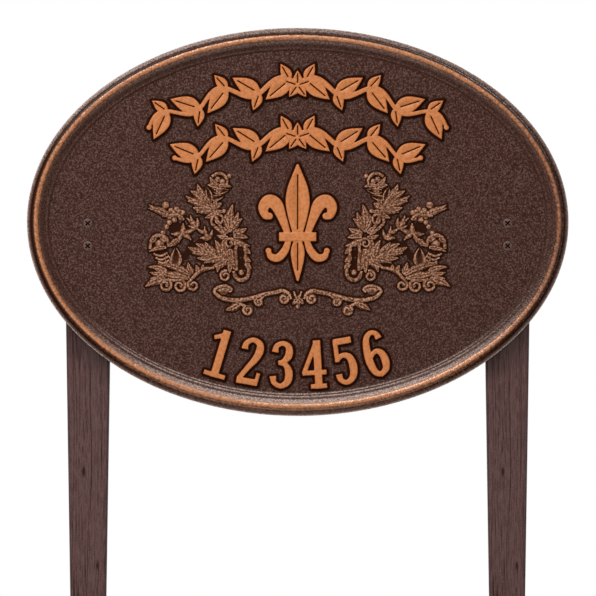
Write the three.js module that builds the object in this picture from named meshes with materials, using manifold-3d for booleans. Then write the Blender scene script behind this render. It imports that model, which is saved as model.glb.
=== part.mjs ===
// Oval lawn plaque: a cast panel with a beaded rim and raised relief, carried by two cast stakes.
// Each stake is held by two countersunk machine screws with lock washers and hexagon nuts behind it.
// Millimetres, +Z up. The origin lies on the lawn surface, midway between the stakes, in the plane of the
// panel's back. The front faces -Y. The pieces are drawn as seen from the front: x to the right, y up and
// z towards the viewer, and the exported group then stands them upright.
import * as THREE from "three";
import { mergeVertices } from "three/addons/utils/BufferGeometryUtils.js";
import Module from "manifold-3d";

const wasm = await Module();
wasm.setup();

// Panel and where it stands
const PLAQUE_WIDTH = 381;
const PLAQUE_HEIGHT = 273;
const PANEL_THICKNESS = 5;
const LAWN_CLEARANCE = 127.5;

// Rim, from the outer edge inwards
const EDGE_HEIGHT = 3.2;
const EDGE_ROUND = 0.6;
const FLANGE_WIDTH = 3.4;
const FLANGE_RISE = 1.4;
const BEAD_RADIUS = 2.8;
const BEAD_CREST = 9.5;
const BEAD_INNER_ANGLE = 40;
const COVE_WIDTH = 4;
const LEDGE_WIDTH = 2.8;
const STEP_HEIGHT = 0.5;
const STEP_RUN = 0.3;
const RIM_SEGMENTS = 72;
const BEAD_SEGMENTS = 5;
const COVE_SEGMENTS = 3;

// Raised relief
const RELIEF_ROOT = 1;
const BOLD_HEIGHT = 2.4;
const SCROLL_HEIGHT = 2;
const SPRAY_HEIGHT = 2;

// Stakes
const STAKE_INSET = 42.9;
const STAKE_TOP_WIDTH = 34;
const STAKE_POINT_WIDTH = 21;
const STAKE_THICKNESS = 8;
const STAKE_FRONT_ROUND = 2.6;
const STAKE_BACK_ROUND = 1;
const STAKE_ABOVE_SCREW = 12.7;
const DRIVEN_DEPTH = 200;
const POINT_LENGTH = 60;
const TIP_WIDTH = 5;
const TIP_THICKNESS = 3;
const CORNER_SEGMENTS = 2;

// Screws, lock washers and nuts
const UPPER_SCREW_DROP = 1;
const SCREW_PITCH = 15.9;
const SCREW_LENGTH = 19;
const SCREW_RADIUS = 1.75;
const SCREW_HEAD_RADIUS = 3.4;
const SCREW_HEAD_ANGLE = 82;
const SCREW_HEAD_LAND = 0.3;
const SCREW_TIP_CHAMFER = 0.5;
const RECESS_SPAN = 4.2;
const RECESS_WIDTH = 0.95;
const RECESS_DEPTH = 1.6;
const WASHER_RADIUS = 3.2;
const WASHER_THICKNESS = 0.8;
const WASHER_SPLIT = 0.9;
const NUT_ACROSS_FLATS = 7.9;
const NUT_THICKNESS = 2.8;
const FASTENER_SIDES = 20;

// Clearances: flat seats are a paint film apart, and a screw stands clear of its holes
const SEAT_GAP = 0.1;
const HOLE_GAP = 0.3;
const CUT_OVERRUN = 1;

// Places that follow from the sizes above
const PLAQUE_CENTRE = LAWN_CLEARANCE + PLAQUE_HEIGHT / 2;
const STAKE_X = PLAQUE_WIDTH / 2 - STAKE_INSET;
const UPPER_SCREW_Y = PLAQUE_CENTRE - UPPER_SCREW_DROP;
const SCREW_HEIGHTS = { upper: UPPER_SCREW_Y, lower: UPPER_SCREW_Y - SCREW_PITCH };
const STAKE_TOP = UPPER_SCREW_Y + STAKE_ABOVE_SCREW;
const STAKE_FRONT = -SEAT_GAP;
const STAKE_BACK = STAKE_FRONT - STAKE_THICKNESS;
const WASHER_FRONT = STAKE_BACK - SEAT_GAP;
const NUT_FRONT = WASHER_FRONT - WASHER_THICKNESS - SEAT_GAP;
const HOLE_RADIUS = SCREW_RADIUS + HOLE_GAP;

const PAINT_BROWN = new THREE.MeshStandardMaterial({ color: 0x4b3530, roughness: 0.55, metalness: 0.3 });
const STAKE_BROWN = new THREE.MeshStandardMaterial({ color: 0x5b4745, roughness: 0.6, metalness: 0.3 });
const SCREW_BROWN = new THREE.MeshStandardMaterial({ color: 0x55423d, roughness: 0.45, metalness: 0.4 });
const ZINC = new THREE.MeshStandardMaterial({ color: 0xa9a7a0, roughness: 0.35, metalness: 0.9 });

// Closed meshes as solids, and solids as geometry
function solidOf(geometry) {
  const bare = geometry.index ? geometry.toNonIndexed() : geometry.clone();
  bare.deleteAttribute("normal");
  bare.deleteAttribute("uv");
  const merged = mergeVertices(bare, 1e-4);
  return new wasm.Manifold(
    new wasm.Mesh({
      numProp: 3,
      vertProperties: merged.attributes.position.array,
      triVerts: new Uint32Array(merged.index.array),
    }),
  );
}

function geometryOf(solid) {
  const mesh = solid.getMesh();
  const geometry = new THREE.BufferGeometry();
  geometry.setAttribute("position", new THREE.BufferAttribute(mesh.vertProperties, 3));
  geometry.setIndex(new THREE.BufferAttribute(mesh.triVerts, 1));
  geometry.computeVertexNormals();
  return geometry;
}

function joined(solids) {
  return solids.reduce((whole, solid) => whole.add(solid));
}

function node(name, geometry, material) {
  const mesh = new THREE.Mesh(geometry, material);
  mesh.name = name;
  return mesh;
}

// Rings of equal length joined into one closed skin, with a flat cap over the first and the last ring.
// Each ring runs anticlockwise as seen from the last ring's side.
function skin(rings) {
  const count = rings[0].length;
  const positions = rings.flat().flatMap((p) => [p.x, p.y, p.z]);
  const index = [];
  for (let ring = 0; ring + 1 < rings.length; ring++) {
    for (let i = 0; i < count; i++) {
      const next = (i + 1) % count;
      const a = ring * count + i;
      const b = ring * count + next;
      index.push(a, b, b + count, a, b + count, a + count);
    }
  }
  const last = (rings.length - 1) * count;
  for (let i = 1; i + 1 < count; i++) {
    index.push(0, i + 1, i);
    index.push(last, last + i, last + i + 1);
  }
  const geometry = new THREE.BufferGeometry();
  geometry.setAttribute("position", new THREE.Float32BufferAttribute(positions, 3));
  geometry.setIndex(index);
  return geometry;
}

// Panel with its rim

function rimPoint(angle, inset) {
  const a = PLAQUE_WIDTH / 2;
  const b = PLAQUE_HEIGHT / 2;
  const outwards = new THREE.Vector2(Math.cos(angle) / a, Math.sin(angle) / b).normalize();
  return new THREE.Vector2(a * Math.cos(angle), b * Math.sin(angle)).addScaledVector(outwards, -inset);
}

// The rim's section as points of inset from the outer edge and height above the back.
function rimSection() {
  const section = [
    [0, 0],
    [0, EDGE_HEIGHT - EDGE_ROUND],
    [EDGE_ROUND, EDGE_HEIGHT],
    [FLANGE_WIDTH, EDGE_HEIGHT + FLANGE_RISE],
  ];
  const beadInset = FLANGE_WIDTH + BEAD_RADIUS;
  const beadHeight = BEAD_CREST - BEAD_RADIUS;
  const innerAngle = THREE.MathUtils.degToRad(BEAD_INNER_ANGLE);
  for (let i = 0; i <= BEAD_SEGMENTS; i++) {
    const angle = THREE.MathUtils.lerp(Math.PI, innerAngle, i / BEAD_SEGMENTS);
    section.push([beadInset + BEAD_RADIUS * Math.cos(angle), beadHeight + BEAD_RADIUS * Math.sin(angle)]);
  }
  const [coveInset, coveHeight] = section.at(-1);
  const foot = PANEL_THICKNESS + 2 * STEP_HEIGHT;
  for (let i = 1; i <= COVE_SEGMENTS; i++) {
    const t = i / COVE_SEGMENTS;
    section.push([coveInset + COVE_WIDTH * t, foot + (coveHeight - foot) * (1 - t) ** 2]);
  }
  const footInset = coveInset + COVE_WIDTH;
  section.push([footInset + STEP_RUN, foot - STEP_HEIGHT]);
  section.push([footInset + LEDGE_WIDTH, foot - STEP_HEIGHT]);
  section.push([footInset + LEDGE_WIDTH + STEP_RUN, PANEL_THICKNESS]);
  return section;
}

function panel() {
  const rings = rimSection().map(([inset, height]) => {
    const ring = [];
    for (let i = 0; i < RIM_SEGMENTS; i++) {
      const p = rimPoint((2 * Math.PI * i) / RIM_SEGMENTS, inset);
      ring.push(new THREE.Vector3(p.x, p.y, height));
    }
    return ring;
  });
  return solidOf(skin(rings));
}

// Raised relief. Outlines are lists of points seen from the front, measured from the panel's centre.

function point([x, y]) {
  return new THREE.Vector2(x, y);
}

function raised(outline, height) {
  const depth = RELIEF_ROOT + height;
  const geometry = new THREE.ExtrudeGeometry(new THREE.Shape(outline), { depth, bevelEnabled: false });
  return solidOf(geometry.translate(0, 0, PANEL_THICKNESS - RELIEF_ROOT));
}

function mirrored(outline) {
  return outline.map((p) => new THREE.Vector2(-p.x, p.y)).reverse();
}

function bothSides(outlines) {
  return [...outlines, ...outlines.map(mirrored)];
}

function placed(outline, [x, y], degrees) {
  const turn = THREE.MathUtils.degToRad(degrees);
  return outline.map((p) => p.clone().rotateAround(new THREE.Vector2(), turn).add(new THREE.Vector2(x, y)));
}

// A ribbon along a smooth line through the points. Its half-width runs from wide to narrow.
function ribbon(points, wide, narrow, steps) {
  const line = new THREE.SplineCurve(points.map(point));
  const left = [];
  const right = [];
  for (let i = 0; i <= steps; i++) {
    const along = line.getTangent(i / steps);
    const half = THREE.MathUtils.lerp(wide, narrow, i / steps);
    const across = new THREE.Vector2(-along.y, along.x).multiplyScalar(half);
    const p = line.getPoint(i / steps);
    left.push(p.clone().add(across));
    right.unshift(p.clone().sub(across));
  }
  return [...left, ...right];
}

// Points of a spiral about a centre, from one radius to another.
function spiral([x, y], radius, endRadius, startDegrees, sweepDegrees, count) {
  const points = [];
  for (let i = 0; i <= count; i++) {
    const angle = THREE.MathUtils.degToRad(startDegrees + (sweepDegrees * i) / count);
    const r = THREE.MathUtils.lerp(radius, endRadius, i / count);
    points.push([x + r * Math.cos(angle), y + r * Math.sin(angle)]);
  }
  return points;
}

// A pointed leaf along +x from its stalk, with points on its edges at these shares of its length.
const LEAF_STEPS = [0.22, 0.5, 0.8];
function plainLeaf(length, width, steps = LEAF_STEPS) {
  const halfAt = (t) => (width / 2) * Math.sin(Math.PI * t ** 0.8);
  const edge = steps.map((t) => new THREE.Vector2(length * t, halfAt(t)));
  const under = edge.map((p) => new THREE.Vector2(p.x, -p.y));
  return [new THREE.Vector2(0, 0), ...under, new THREE.Vector2(length, 0), ...edge.reverse()];
}

function rosette(radius, petals) {
  const outline = [];
  const count = petals * 2;
  for (let i = 0; i < count; i++) {
    const angle = (2 * Math.PI * i) / count;
    const r = radius * (0.76 + 0.24 * Math.cos(petals * angle));
    outline.push(new THREE.Vector2(r * Math.cos(angle), r * Math.sin(angle)));
  }
  return outline;
}

// Two arched vines over the centre. A wavy stem leaves a rosette at the crown, with a leaf in each hollow.
const VINE_WAVE = 44;
const VINE_SWING = 5.5;
const VINE_STEM = 1.5;
const VINE_TIP = 0.9;
const VINE_LEAF = { length: 21, width: 10.5, turn: 38 };
const VINE_ROSETTE = 9.5;
const VINES = [
  { inset: 40.5, radius: 198, halfWaves: 5 },
  { inset: 77, radius: 262, halfWaves: 4 },
];

function vine({ inset, radius, halfWaves }) {
  const crown = PLAQUE_HEIGHT / 2 - inset;
  const onVine = (run, offset) => {
    const angle = run / radius;
    const r = radius + offset;
    return [r * Math.sin(angle), crown - radius + r * Math.cos(angle)];
  };
  const swing = (run) => VINE_SWING * Math.sin((2 * Math.PI * run) / VINE_WAVE);
  const half = VINE_WAVE / 2;
  const steps = halfWaves * 4;
  const stem = [];
  for (let i = 0; i <= steps; i++) {
    const run = (halfWaves * half * i) / steps;
    stem.push(onVine(run, swing(run)));
  }
  const outlines = [ribbon(stem, VINE_STEM, VINE_TIP, steps)];
  for (let i = 0; i < halfWaves; i++) {
    const side = i % 2 ? -1 : 1;
    const run = (i + 0.25) * half;
    const level = -THREE.MathUtils.radToDeg(run / radius);
    const stalk = onVine(run, swing(run));
    outlines.push(placed(plainLeaf(VINE_LEAF.length, VINE_LEAF.width), stalk, level - side * VINE_LEAF.turn));
  }
  const crownRosette = placed(rosette(VINE_ROSETTE, 5), [0, crown], 90);
  return [...bothSides(outlines), crownRosette].map((outline) => raised(outline, BOLD_HEIGHT));
}

// Central lily: an upright petal, two curled side petals, a band and three tails.
const LILY_DROP = 1;
const LILY_PETAL = { foot: [0, -10], length: 51, width: 20 };
const LILY_TAIL = { top: [0, -9], length: 32, width: 9 };
const LILY_BAND = { width: 30, height: 6, level: -9.5 };
const LILY_SIDE_PETAL = [[3.5, -9], [5.5, 2], [12, 14.5], [20, 15], [23, 7], [18.5, 2.5]];
const LILY_SIDE_TAIL = [[3.5, -10], [6, -20], [12, -26], [17, -22]];

function lily() {
  const { width, height, level } = LILY_BAND;
  const band = [[-0.5, -0.5], [0.5, -0.5], [0.5, 0.5], [-0.5, 0.5]];
  const outlines = [
    placed(plainLeaf(LILY_PETAL.length, LILY_PETAL.width), LILY_PETAL.foot, 90),
    placed(plainLeaf(LILY_TAIL.length, LILY_TAIL.width), LILY_TAIL.top, -90),
    band.map(([x, y]) => new THREE.Vector2(x * width, level + y * height)),
    ...bothSides([ribbon(LILY_SIDE_PETAL, 4.6, 1.4, 16), ribbon(LILY_SIDE_TAIL, 3, 1.2, 10)]),
  ];
  return outlines.map((outline) => raised(placed(outline, [0, -LILY_DROP], 0), BOLD_HEIGHT));
}

// Scroll under the lily: a long S on each side between two volutes, with a curl, a sprig and a leaf below it.
const SCROLL_STEM = 1.3;
const SCROLL_CURL = 0.8;
const SCROLL_LINE = [
  ...spiral([7.6, -53.2], 2, 3.8, 20, -290, 8),
  [12, -49.1], [21.8, -51], [31.8, -54], [44, -55.1],
  ...spiral([49, -49.2], 7.2, 2, -60, 430, 12),
];
const SCROLL_CURLS = [
  spiral([33.4, -61.6], 4.2, 1.4, 100, -400, 10),
  spiral([25, -57], 3.2, 1.2, 60, -360, 8),
];
const SCROLL_LEAF = { stalk: [36, -56.5], degrees: -28, length: 15, width: 5.5 };
const SCROLL_BUD = { top: [0, -49], length: 13, width: 7 };

function scroll() {
  const { stalk, degrees, length, width } = SCROLL_LEAF;
  const half = [
    ribbon(SCROLL_LINE, SCROLL_STEM, SCROLL_STEM, 30),
    ...SCROLL_CURLS.map((curl) => ribbon(curl, SCROLL_CURL, SCROLL_CURL, 8)),
    placed(plainLeaf(length, width), stalk, degrees),
  ];
  const bud = placed(plainLeaf(SCROLL_BUD.length, SCROLL_BUD.width), SCROLL_BUD.top, -90);
  return [...bothSides(half), bud].map((outline) => raised(outline, SCROLL_HEIGHT));
}

// Acanthus spray on each side of the lily. A lobe is its start, its tip and half its width. A curl is its
// centre, first and last radius, start and sweep in degrees, and the points that lead into it. A knob is its
// centre and radius.
const SPRAY_STEM = 1.4;
const SPRAY_CURL = 0.9;
const SPRAY_LOBES = [
  [59, 19, 51, 32.5, 4.2], [58.5, 22, 58.5, 33.5, 3.2],
  [59.5, 22, 63, 30.5, 2.6], [56, 23, 46.5, 25.2, 2.3],
  [62.5, 13.5, 70.4, 26.1, 3.2], [63, 12.5, 74.8, 22.5, 2.8],
  [63, 11.5, 78.8, 18, 2.7], [60.5, 9, 73.8, 9.6, 3.1],
  [58.5, 7, 69, 5.2, 2.8], [58.5, 19, 49.3, 21.8, 2.6],
  [60, 14.5, 52, 17.4, 2.5], [61, 13, 61.2, 23.5, 2.6],
  [48, -6, 45.3, 11.4, 3.4], [46.8, -6, 39, 3.2, 2.9], [46, -8, 35.8, -4.4, 2.6], [48.6, -6, 53, 8.2, 2.4],
  [47.5, -19, 43.4, -34.5, 3.4], [49, -20, 48, -36, 3.4], [51, -22, 56.4, -35.5, 3],
  [50, -24, 52, -11.5, 2.7], [54, -24, 58, -13, 2.8],
  [58, -23, 65, -14.2, 2.8], [61, -21.8, 77, -17.8, 2.9],
  [57, -24, 70.6, -25.4, 2.7], [53, -25.5, 66, -29, 2.8],
  [62.6, -12.4, 60, -5.4, 1.4], [62.6, -12.4, 65.4, -3, 1.5],
  [65, -7.5, 71, -4.6, 1.4], [71, -4.4, 70.6, 2.8, 1.5],
  [72, -4.4, 78.4, 3, 1.5],
  [79.2, -9.8, 78.4, -1.2, 2], [79.2, -9.8, 87.6, -8.4, 2], [79.2, -9.8, 81.4, -16.6, 2],
  [79.2, -9.8, 72.6, -13.4, 2], [79.2, -9.8, 71.8, -6.2, 2], [80.5, -11, 92, -16.6, 1.7],
  [91.4, 5, 105, 9.6, 2.4], [93, -14, 103, -19, 2.9],
  [91.6, -17.5, 101.2, -22.6, 2.7], [91, -20.5, 98.8, -26.6, 2.6],
  [84.4, -36, 83.9, -18.4, 3.7], [88, -33, 91.5, -22.5, 2.4], [74, -36.5, 77, -28.6, 2.3],
  [75, -37.4, 98.2, -29.4, 2.5], [79, -38.5, 105.4, -31.8, 2.4],
  [77, -40, 103.6, -37.4, 2.3], [93, -40, 107, -45.4, 2.8],
];
const SPRAY_CURLS = [
  [[55.8, 1.3], 5, 1.5, -40, 420, [50.5, -9], [55, -6]],
  [[50.8, -38], 3.8, 1.4, 110, -430],
  [[73.3, -44.6], 4, 1.4, 70, -420, [58.8, -32.4], [65.8, -33.6], [71.5, -36.6]],
  [[83, -45], 4.6, 1.5, 100, 430],
  [[93, -44.4], 4.6, 1.5, 110, 430],
];
const SPRAY_STEMS = [
  [
    [46, -12], [37.5, -13.4], [34.2, -19], [33.7, -26.5], [33.4, -33.5],
    [35, -40], [39.5, -42], [43.6, -39], [43.4, -35],
  ],
  [[52, -8], [57, 2.5], [60, 10], [63, 16]],
  [[90.6, -16.6], [92.6, -11.4], [97.8, -9.4], [102.4, -12.4], [103.6, -19]],
  [[76, 0.5], [84, 5], [91, 4.4], [95, 4.6]],
  [[74, -39.4], [84, -41], [96, -40.6]],
];
const SPRAY_KNOBS = [
  [[85, 8], 2.4], [[89.1, 6.8], 2.4], [[83.2, 2.6], 2.4],
  [[88, 1.8], 2.4], [[92.8, 9.6], 3.7], [[48.4, 31], 2.4],
  [[38.6, -38.4], 3],
];
const LOBE_ROOT = 1.2;
const LOBE_STEPS = [0.3, 0.68];
const KNOB_SIDES = 8;
const CURL_COUNT = 12;

function lobe([x, y, tipX, tipY, half]) {
  const tip = new THREE.Vector2(tipX, tipY);
  const along = tip.clone().sub(new THREE.Vector2(x, y));
  const length = along.length() + LOBE_ROOT;
  const root = tip.sub(along.clone().setLength(length));
  const outline = plainLeaf(length, 2 * half, LOBE_STEPS);
  return placed(outline, [root.x, root.y], THREE.MathUtils.radToDeg(along.angle()));
}

function curl([centre, radius, endRadius, startDegrees, sweepDegrees, ...lead]) {
  const line = [...lead, ...spiral(centre, radius, endRadius, startDegrees, sweepDegrees, CURL_COUNT)];
  return ribbon(line, SPRAY_CURL, SPRAY_CURL, line.length);
}

function knob([centre, radius]) {
  return spiral(centre, radius, radius, 0, 360 - 360 / KNOB_SIDES, KNOB_SIDES - 1).map(point);
}

function spray() {
  const stems = SPRAY_STEMS.map((line) => ribbon(line, SPRAY_STEM, SPRAY_STEM, line.length + 2));
  const outlines = [...stems, ...SPRAY_LOBES.map(lobe), ...SPRAY_CURLS.map(curl), ...SPRAY_KNOBS.map(knob)];
  return bothSides(outlines).map((outline) => raised(outline, SPRAY_HEIGHT));
}

// Plain numerals along the lower rim. A numeral is a list of strokes in a box centred on the origin: first
// the stroke's half-width, then the points of its line.
const NUMBER_INSET = 35.8;
const NUMBER_RADIUS = 190;
const NUMBER_STEP = 6.7;
const THICK = 2.6;
const ROUND = 2.2;
const THIN = 1.3;
const NUMERALS = [
  [[THICK, [0.5, -16.5], [0.5, 16.5]], [THIN, [-6.5, -15.2], [7.5, -15.2]], [THIN, [-7, 10.5], [0.5, 15]]],
  [
    [ROUND, [-5.6, 8], [-4.4, 12.5], [0, 14.3], [4.6, 12.4], [5.6, 8], [3, 0.5], [-5.6, -14]],
    [ROUND, [-7, -14.3], [7.5, -14.3]],
  ],
  [
    [ROUND, [-5.6, 10], [-3.5, 13.6], [1, 14.3], [4.8, 10.8], [4, 4.5], [-1.5, 1.4]],
    [ROUND, [-1.5, 1.4], [4.6, -2], [5.6, -8.5], [2.3, -13.7], [-3.3, -13.9], [-6.2, -9.5]],
  ],
  [
    [THICK, [3, -16.5], [3, 16.5]], [THIN, [-7.8, -5.5], [8.8, -5.5]], [THIN, [2.5, 14.5], [-7, -5.5]],
    [THIN, [-2.5, -15.2], [8.5, -15.2]],
  ],
  [
    [THIN, [-4.8, 15], [-5.4, 0.8]], [ROUND, [-6, 14.3], [6.5, 14.3]],
    [ROUND, [-5.4, 1.8], [-0.5, 3.9], [4.4, 1.5], [5.6, -5.5], [3.2, -12.3], [-2, -14.2], [-6.2, -10.2]],
  ],
  [
    [ROUND, [5.4, 11], [2, 14.3], [-3, 12.2], [-5.8, 3], [-5.6, -7], [-3, -13], [1.5, -14.2]],
    [ROUND, [1.2, -14.2], [5, -11], [5.6, -5.5], [3.6, -0.2], [0, 1], [-5, -3]],
  ],
];

function numerals() {
  const level = -(PLAQUE_HEIGHT / 2 - NUMBER_INSET) + NUMBER_RADIUS;
  return NUMERALS.flatMap((strokes, i) => {
    const turn = (i - (NUMERALS.length - 1) / 2) * NUMBER_STEP;
    const angle = THREE.MathUtils.degToRad(turn);
    const centre = [NUMBER_RADIUS * Math.sin(angle), level - NUMBER_RADIUS * Math.cos(angle)];
    return strokes.map(([half, ...line]) => {
      const steps = line.length > 2 ? 10 : 1;
      return raised(placed(ribbon(line, half, half, steps), centre, turn), BOLD_HEIGHT);
    });
  });
}

// Screw hole through the panel, its mouth opened to the head's cone. Drawn about the z axis.
function turned(profile) {
  const lathe = new THREE.LatheGeometry(profile.map(point), FASTENER_SIDES);
  return solidOf(lathe.rotateX(Math.PI / 2));
}

const HEAD_SLOPE = Math.tan(THREE.MathUtils.degToRad(SCREW_HEAD_ANGLE / 2));
const HEAD_CONE = (SCREW_HEAD_RADIUS - SCREW_RADIUS) / HEAD_SLOPE;

function screwHole() {
  const mouth = SCREW_HEAD_RADIUS + HOLE_GAP;
  const shoulder = PANEL_THICKNESS - SCREW_HEAD_LAND;
  return turned([
    [0, -CUT_OVERRUN],
    [HOLE_RADIUS, -CUT_OVERRUN],
    [HOLE_RADIUS, shoulder - HEAD_CONE],
    [mouth, shoulder],
    [mouth, PANEL_THICKNESS + CUT_OVERRUN],
    [0, PANEL_THICKNESS + CUT_OVERRUN],
  ]);
}

function plaqueCasting() {
  const relief = [...VINES.flatMap(vine), ...lily(), ...scroll(), ...spray(), ...numerals()];
  let casting = joined([panel(), ...relief]);
  for (const height of Object.values(SCREW_HEIGHTS)) {
    for (const x of [-STAKE_X, STAKE_X]) {
      casting = casting.subtract(screwHole().translate([x, height - PLAQUE_CENTRE, 0]));
    }
  }
  const mesh = node("plaque_casting", geometryOf(casting), PAINT_BROWN);
  mesh.position.y = PLAQUE_CENTRE;
  return mesh;
}

// Stake: a tapering bar with a rounded front and a flat back, drawn out to a blunt point below.

function stakeRing(y, width, front, back) {
  const corners = [
    [-1, back, STAKE_BACK_ROUND, 180],
    [-1, front, STAKE_FRONT_ROUND, 90],
    [1, front, STAKE_FRONT_ROUND, 0],
    [1, back, STAKE_BACK_ROUND, -90],
  ];
  const ring = [];
  for (const [side, z, round, startDegrees] of corners) {
    const radius = Math.min(round, width / 4, (front - back) / 4);
    const inwards = z === front ? -1 : 1;
    const centre = [side * (width / 2 - radius), z + inwards * radius];
    const from = startDegrees + 90;
    for (let i = 0; i <= CORNER_SEGMENTS; i++) {
      const angle = THREE.MathUtils.degToRad(from - (90 * i) / CORNER_SEGMENTS);
      const x = centre[0] + radius * Math.cos(angle);
      ring.push(new THREE.Vector3(x, y, centre[1] + radius * Math.sin(angle)));
    }
  }
  return ring;
}

function stake(name) {
  const pointStart = POINT_LENGTH - DRIVEN_DEPTH;
  const widthAt = (y) =>
    THREE.MathUtils.mapLinear(y, pointStart, STAKE_TOP, STAKE_POINT_WIDTH, STAKE_TOP_WIDTH);
  const middle = (STAKE_FRONT + STAKE_BACK) / 2;
  const padEnd = SCREW_HEIGHTS.lower - STAKE_ABOVE_SCREW;
  const rings = [
    stakeRing(-DRIVEN_DEPTH, TIP_WIDTH, middle + TIP_THICKNESS / 2, middle - TIP_THICKNESS / 2),
    ...[pointStart, 0, padEnd, STAKE_TOP].map((y) => stakeRing(y, widthAt(y), STAKE_FRONT, STAKE_BACK)),
  ];
  let solid = solidOf(skin(rings));
  for (const height of Object.values(SCREW_HEIGHTS)) {
    const length = STAKE_THICKNESS + 2 * CUT_OVERRUN;
    const hole = new THREE.CylinderGeometry(HOLE_RADIUS, HOLE_RADIUS, length, FASTENER_SIDES);
    solid = solid.subtract(solidOf(hole.rotateX(Math.PI / 2)).translate([0, height, middle]));
  }
  return node(name, geometryOf(solid), STAKE_BROWN);
}

// Fasteners, drawn about the z axis with the head towards the viewer

function screw(name) {
  const head = PANEL_THICKNESS - SEAT_GAP;
  const neck = head - SCREW_HEAD_LAND - HEAD_CONE;
  const tip = head - SCREW_LENGTH;
  const blank = turned([
    [0, tip],
    [SCREW_RADIUS - SCREW_TIP_CHAMFER, tip],
    [SCREW_RADIUS, tip + SCREW_TIP_CHAMFER],
    [SCREW_RADIUS, neck],
    [SCREW_HEAD_RADIUS, head - SCREW_HEAD_LAND],
    [SCREW_HEAD_RADIUS, head],
    [0, head],
  ]);
  const slot = new THREE.BoxGeometry(RECESS_SPAN, RECESS_WIDTH, 2 * RECESS_DEPTH);
  const oneSlot = solidOf(slot).rotate([0, 0, 45]).translate([0, 0, head]);
  const otherSlot = solidOf(slot).rotate([0, 0, -45]).translate([0, 0, head]);
  return node(name, geometryOf(blank.subtract(oneSlot.add(otherSlot))), SCREW_BROWN);
}

// Spring lock washer: a flat ring cut through at its foot.
function lockWasher(name) {
  const halfSplit = Math.asin(WASHER_SPLIT / 2 / WASHER_RADIUS);
  const start = -Math.PI / 2 + halfSplit;
  const end = (3 * Math.PI) / 2 - halfSplit;
  const ring = new THREE.Shape();
  ring.absarc(0, 0, WASHER_RADIUS, start, end, false);
  ring.absarc(0, 0, HOLE_RADIUS, end, start, true);
  const settings = { depth: WASHER_THICKNESS, bevelEnabled: false, curveSegments: FASTENER_SIDES / 2 };
  const geometry = new THREE.ExtrudeGeometry(ring, settings);
  return node(name, geometryOf(solidOf(geometry.translate(0, 0, WASHER_FRONT - WASHER_THICKNESS))), ZINC);
}

function nut(name) {
  const corner = NUT_ACROSS_FLATS / 2 / Math.cos(Math.PI / 6);
  const outer = new THREE.CylinderGeometry(corner, corner, NUT_THICKNESS, 6);
  const boreLength = NUT_THICKNESS + CUT_OVERRUN;
  const bore = new THREE.CylinderGeometry(HOLE_RADIUS, HOLE_RADIUS, boreLength, FASTENER_SIDES);
  const solid = solidOf(outer.rotateX(Math.PI / 2)).subtract(solidOf(bore.rotateX(Math.PI / 2)));
  return node(name, geometryOf(solid.translate([0, 0, NUT_FRONT - NUT_THICKNESS / 2])), ZINC);
}

function stakeGroup(side, x) {
  const group = new THREE.Group();
  group.position.x = x;
  group.add(stake(`${side}_stake`));
  for (const [level, height] of Object.entries(SCREW_HEIGHTS)) {
    const fasteners = new THREE.Group();
    fasteners.position.y = height;
    fasteners.add(screw(`${side}_${level}_screw`));
    fasteners.add(lockWasher(`${side}_${level}_lock_washer`));
    fasteners.add(nut(`${side}_${level}_nut`));
    group.add(fasteners);
  }
  return group;
}

const lawnPlaque = new THREE.Group();
lawnPlaque.rotation.x = Math.PI / 2;
lawnPlaque.add(plaqueCasting(), stakeGroup("left", -STAKE_X), stakeGroup("right", STAKE_X));

export default lawnPlaque;
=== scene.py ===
# %% [markdown]
# # An oval lawn plaque on two stakes
#
# The plaque is one aluminium casting: an oval panel with a beaded rim and raised ornament. It is painted
# dark bronze, and the paint is rubbed back to copper where it stands proud. Two cast stakes with a wood
# grain carry it, each held by two flush screws. The measured solids are loaded first and stay where they
# are. Every piece made here is dressed around them, in metres: x to the right, y to the back and z up from
# the lawn.

# %% Load the measured solids
import math
import bpy
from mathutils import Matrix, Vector, noise


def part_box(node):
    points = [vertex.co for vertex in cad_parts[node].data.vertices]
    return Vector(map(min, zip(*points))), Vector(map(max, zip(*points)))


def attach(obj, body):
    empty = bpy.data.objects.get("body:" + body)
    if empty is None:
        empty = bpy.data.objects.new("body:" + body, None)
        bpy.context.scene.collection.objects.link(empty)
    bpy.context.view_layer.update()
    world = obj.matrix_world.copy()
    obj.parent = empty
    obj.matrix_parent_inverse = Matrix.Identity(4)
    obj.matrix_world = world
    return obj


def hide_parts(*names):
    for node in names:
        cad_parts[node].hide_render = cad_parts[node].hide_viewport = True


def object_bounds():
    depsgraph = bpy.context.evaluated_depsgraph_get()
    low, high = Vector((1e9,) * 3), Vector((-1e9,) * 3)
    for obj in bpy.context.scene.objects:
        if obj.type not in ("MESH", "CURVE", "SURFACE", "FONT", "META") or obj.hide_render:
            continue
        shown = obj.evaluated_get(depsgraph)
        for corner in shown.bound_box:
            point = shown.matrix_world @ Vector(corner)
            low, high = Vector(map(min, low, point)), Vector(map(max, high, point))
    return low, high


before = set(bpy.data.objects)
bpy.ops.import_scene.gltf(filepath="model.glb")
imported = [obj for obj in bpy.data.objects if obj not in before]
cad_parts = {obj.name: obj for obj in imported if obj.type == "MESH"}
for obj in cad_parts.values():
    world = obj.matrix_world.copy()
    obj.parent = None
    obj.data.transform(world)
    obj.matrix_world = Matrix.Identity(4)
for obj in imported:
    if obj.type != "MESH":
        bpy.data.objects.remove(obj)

cad_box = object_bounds()
MM = 0.001
plaque_low, plaque_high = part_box("plaque_casting")
plaque_centre = (plaque_low + plaque_high) / 2
half_wide = (plaque_high.x - plaque_low.x) / 2
half_high = (plaque_high.z - plaque_low.z) / 2
print("solids:", len(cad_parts), "oval:", round(2 * half_wide, 4), "by", round(2 * half_high, 4))
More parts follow.
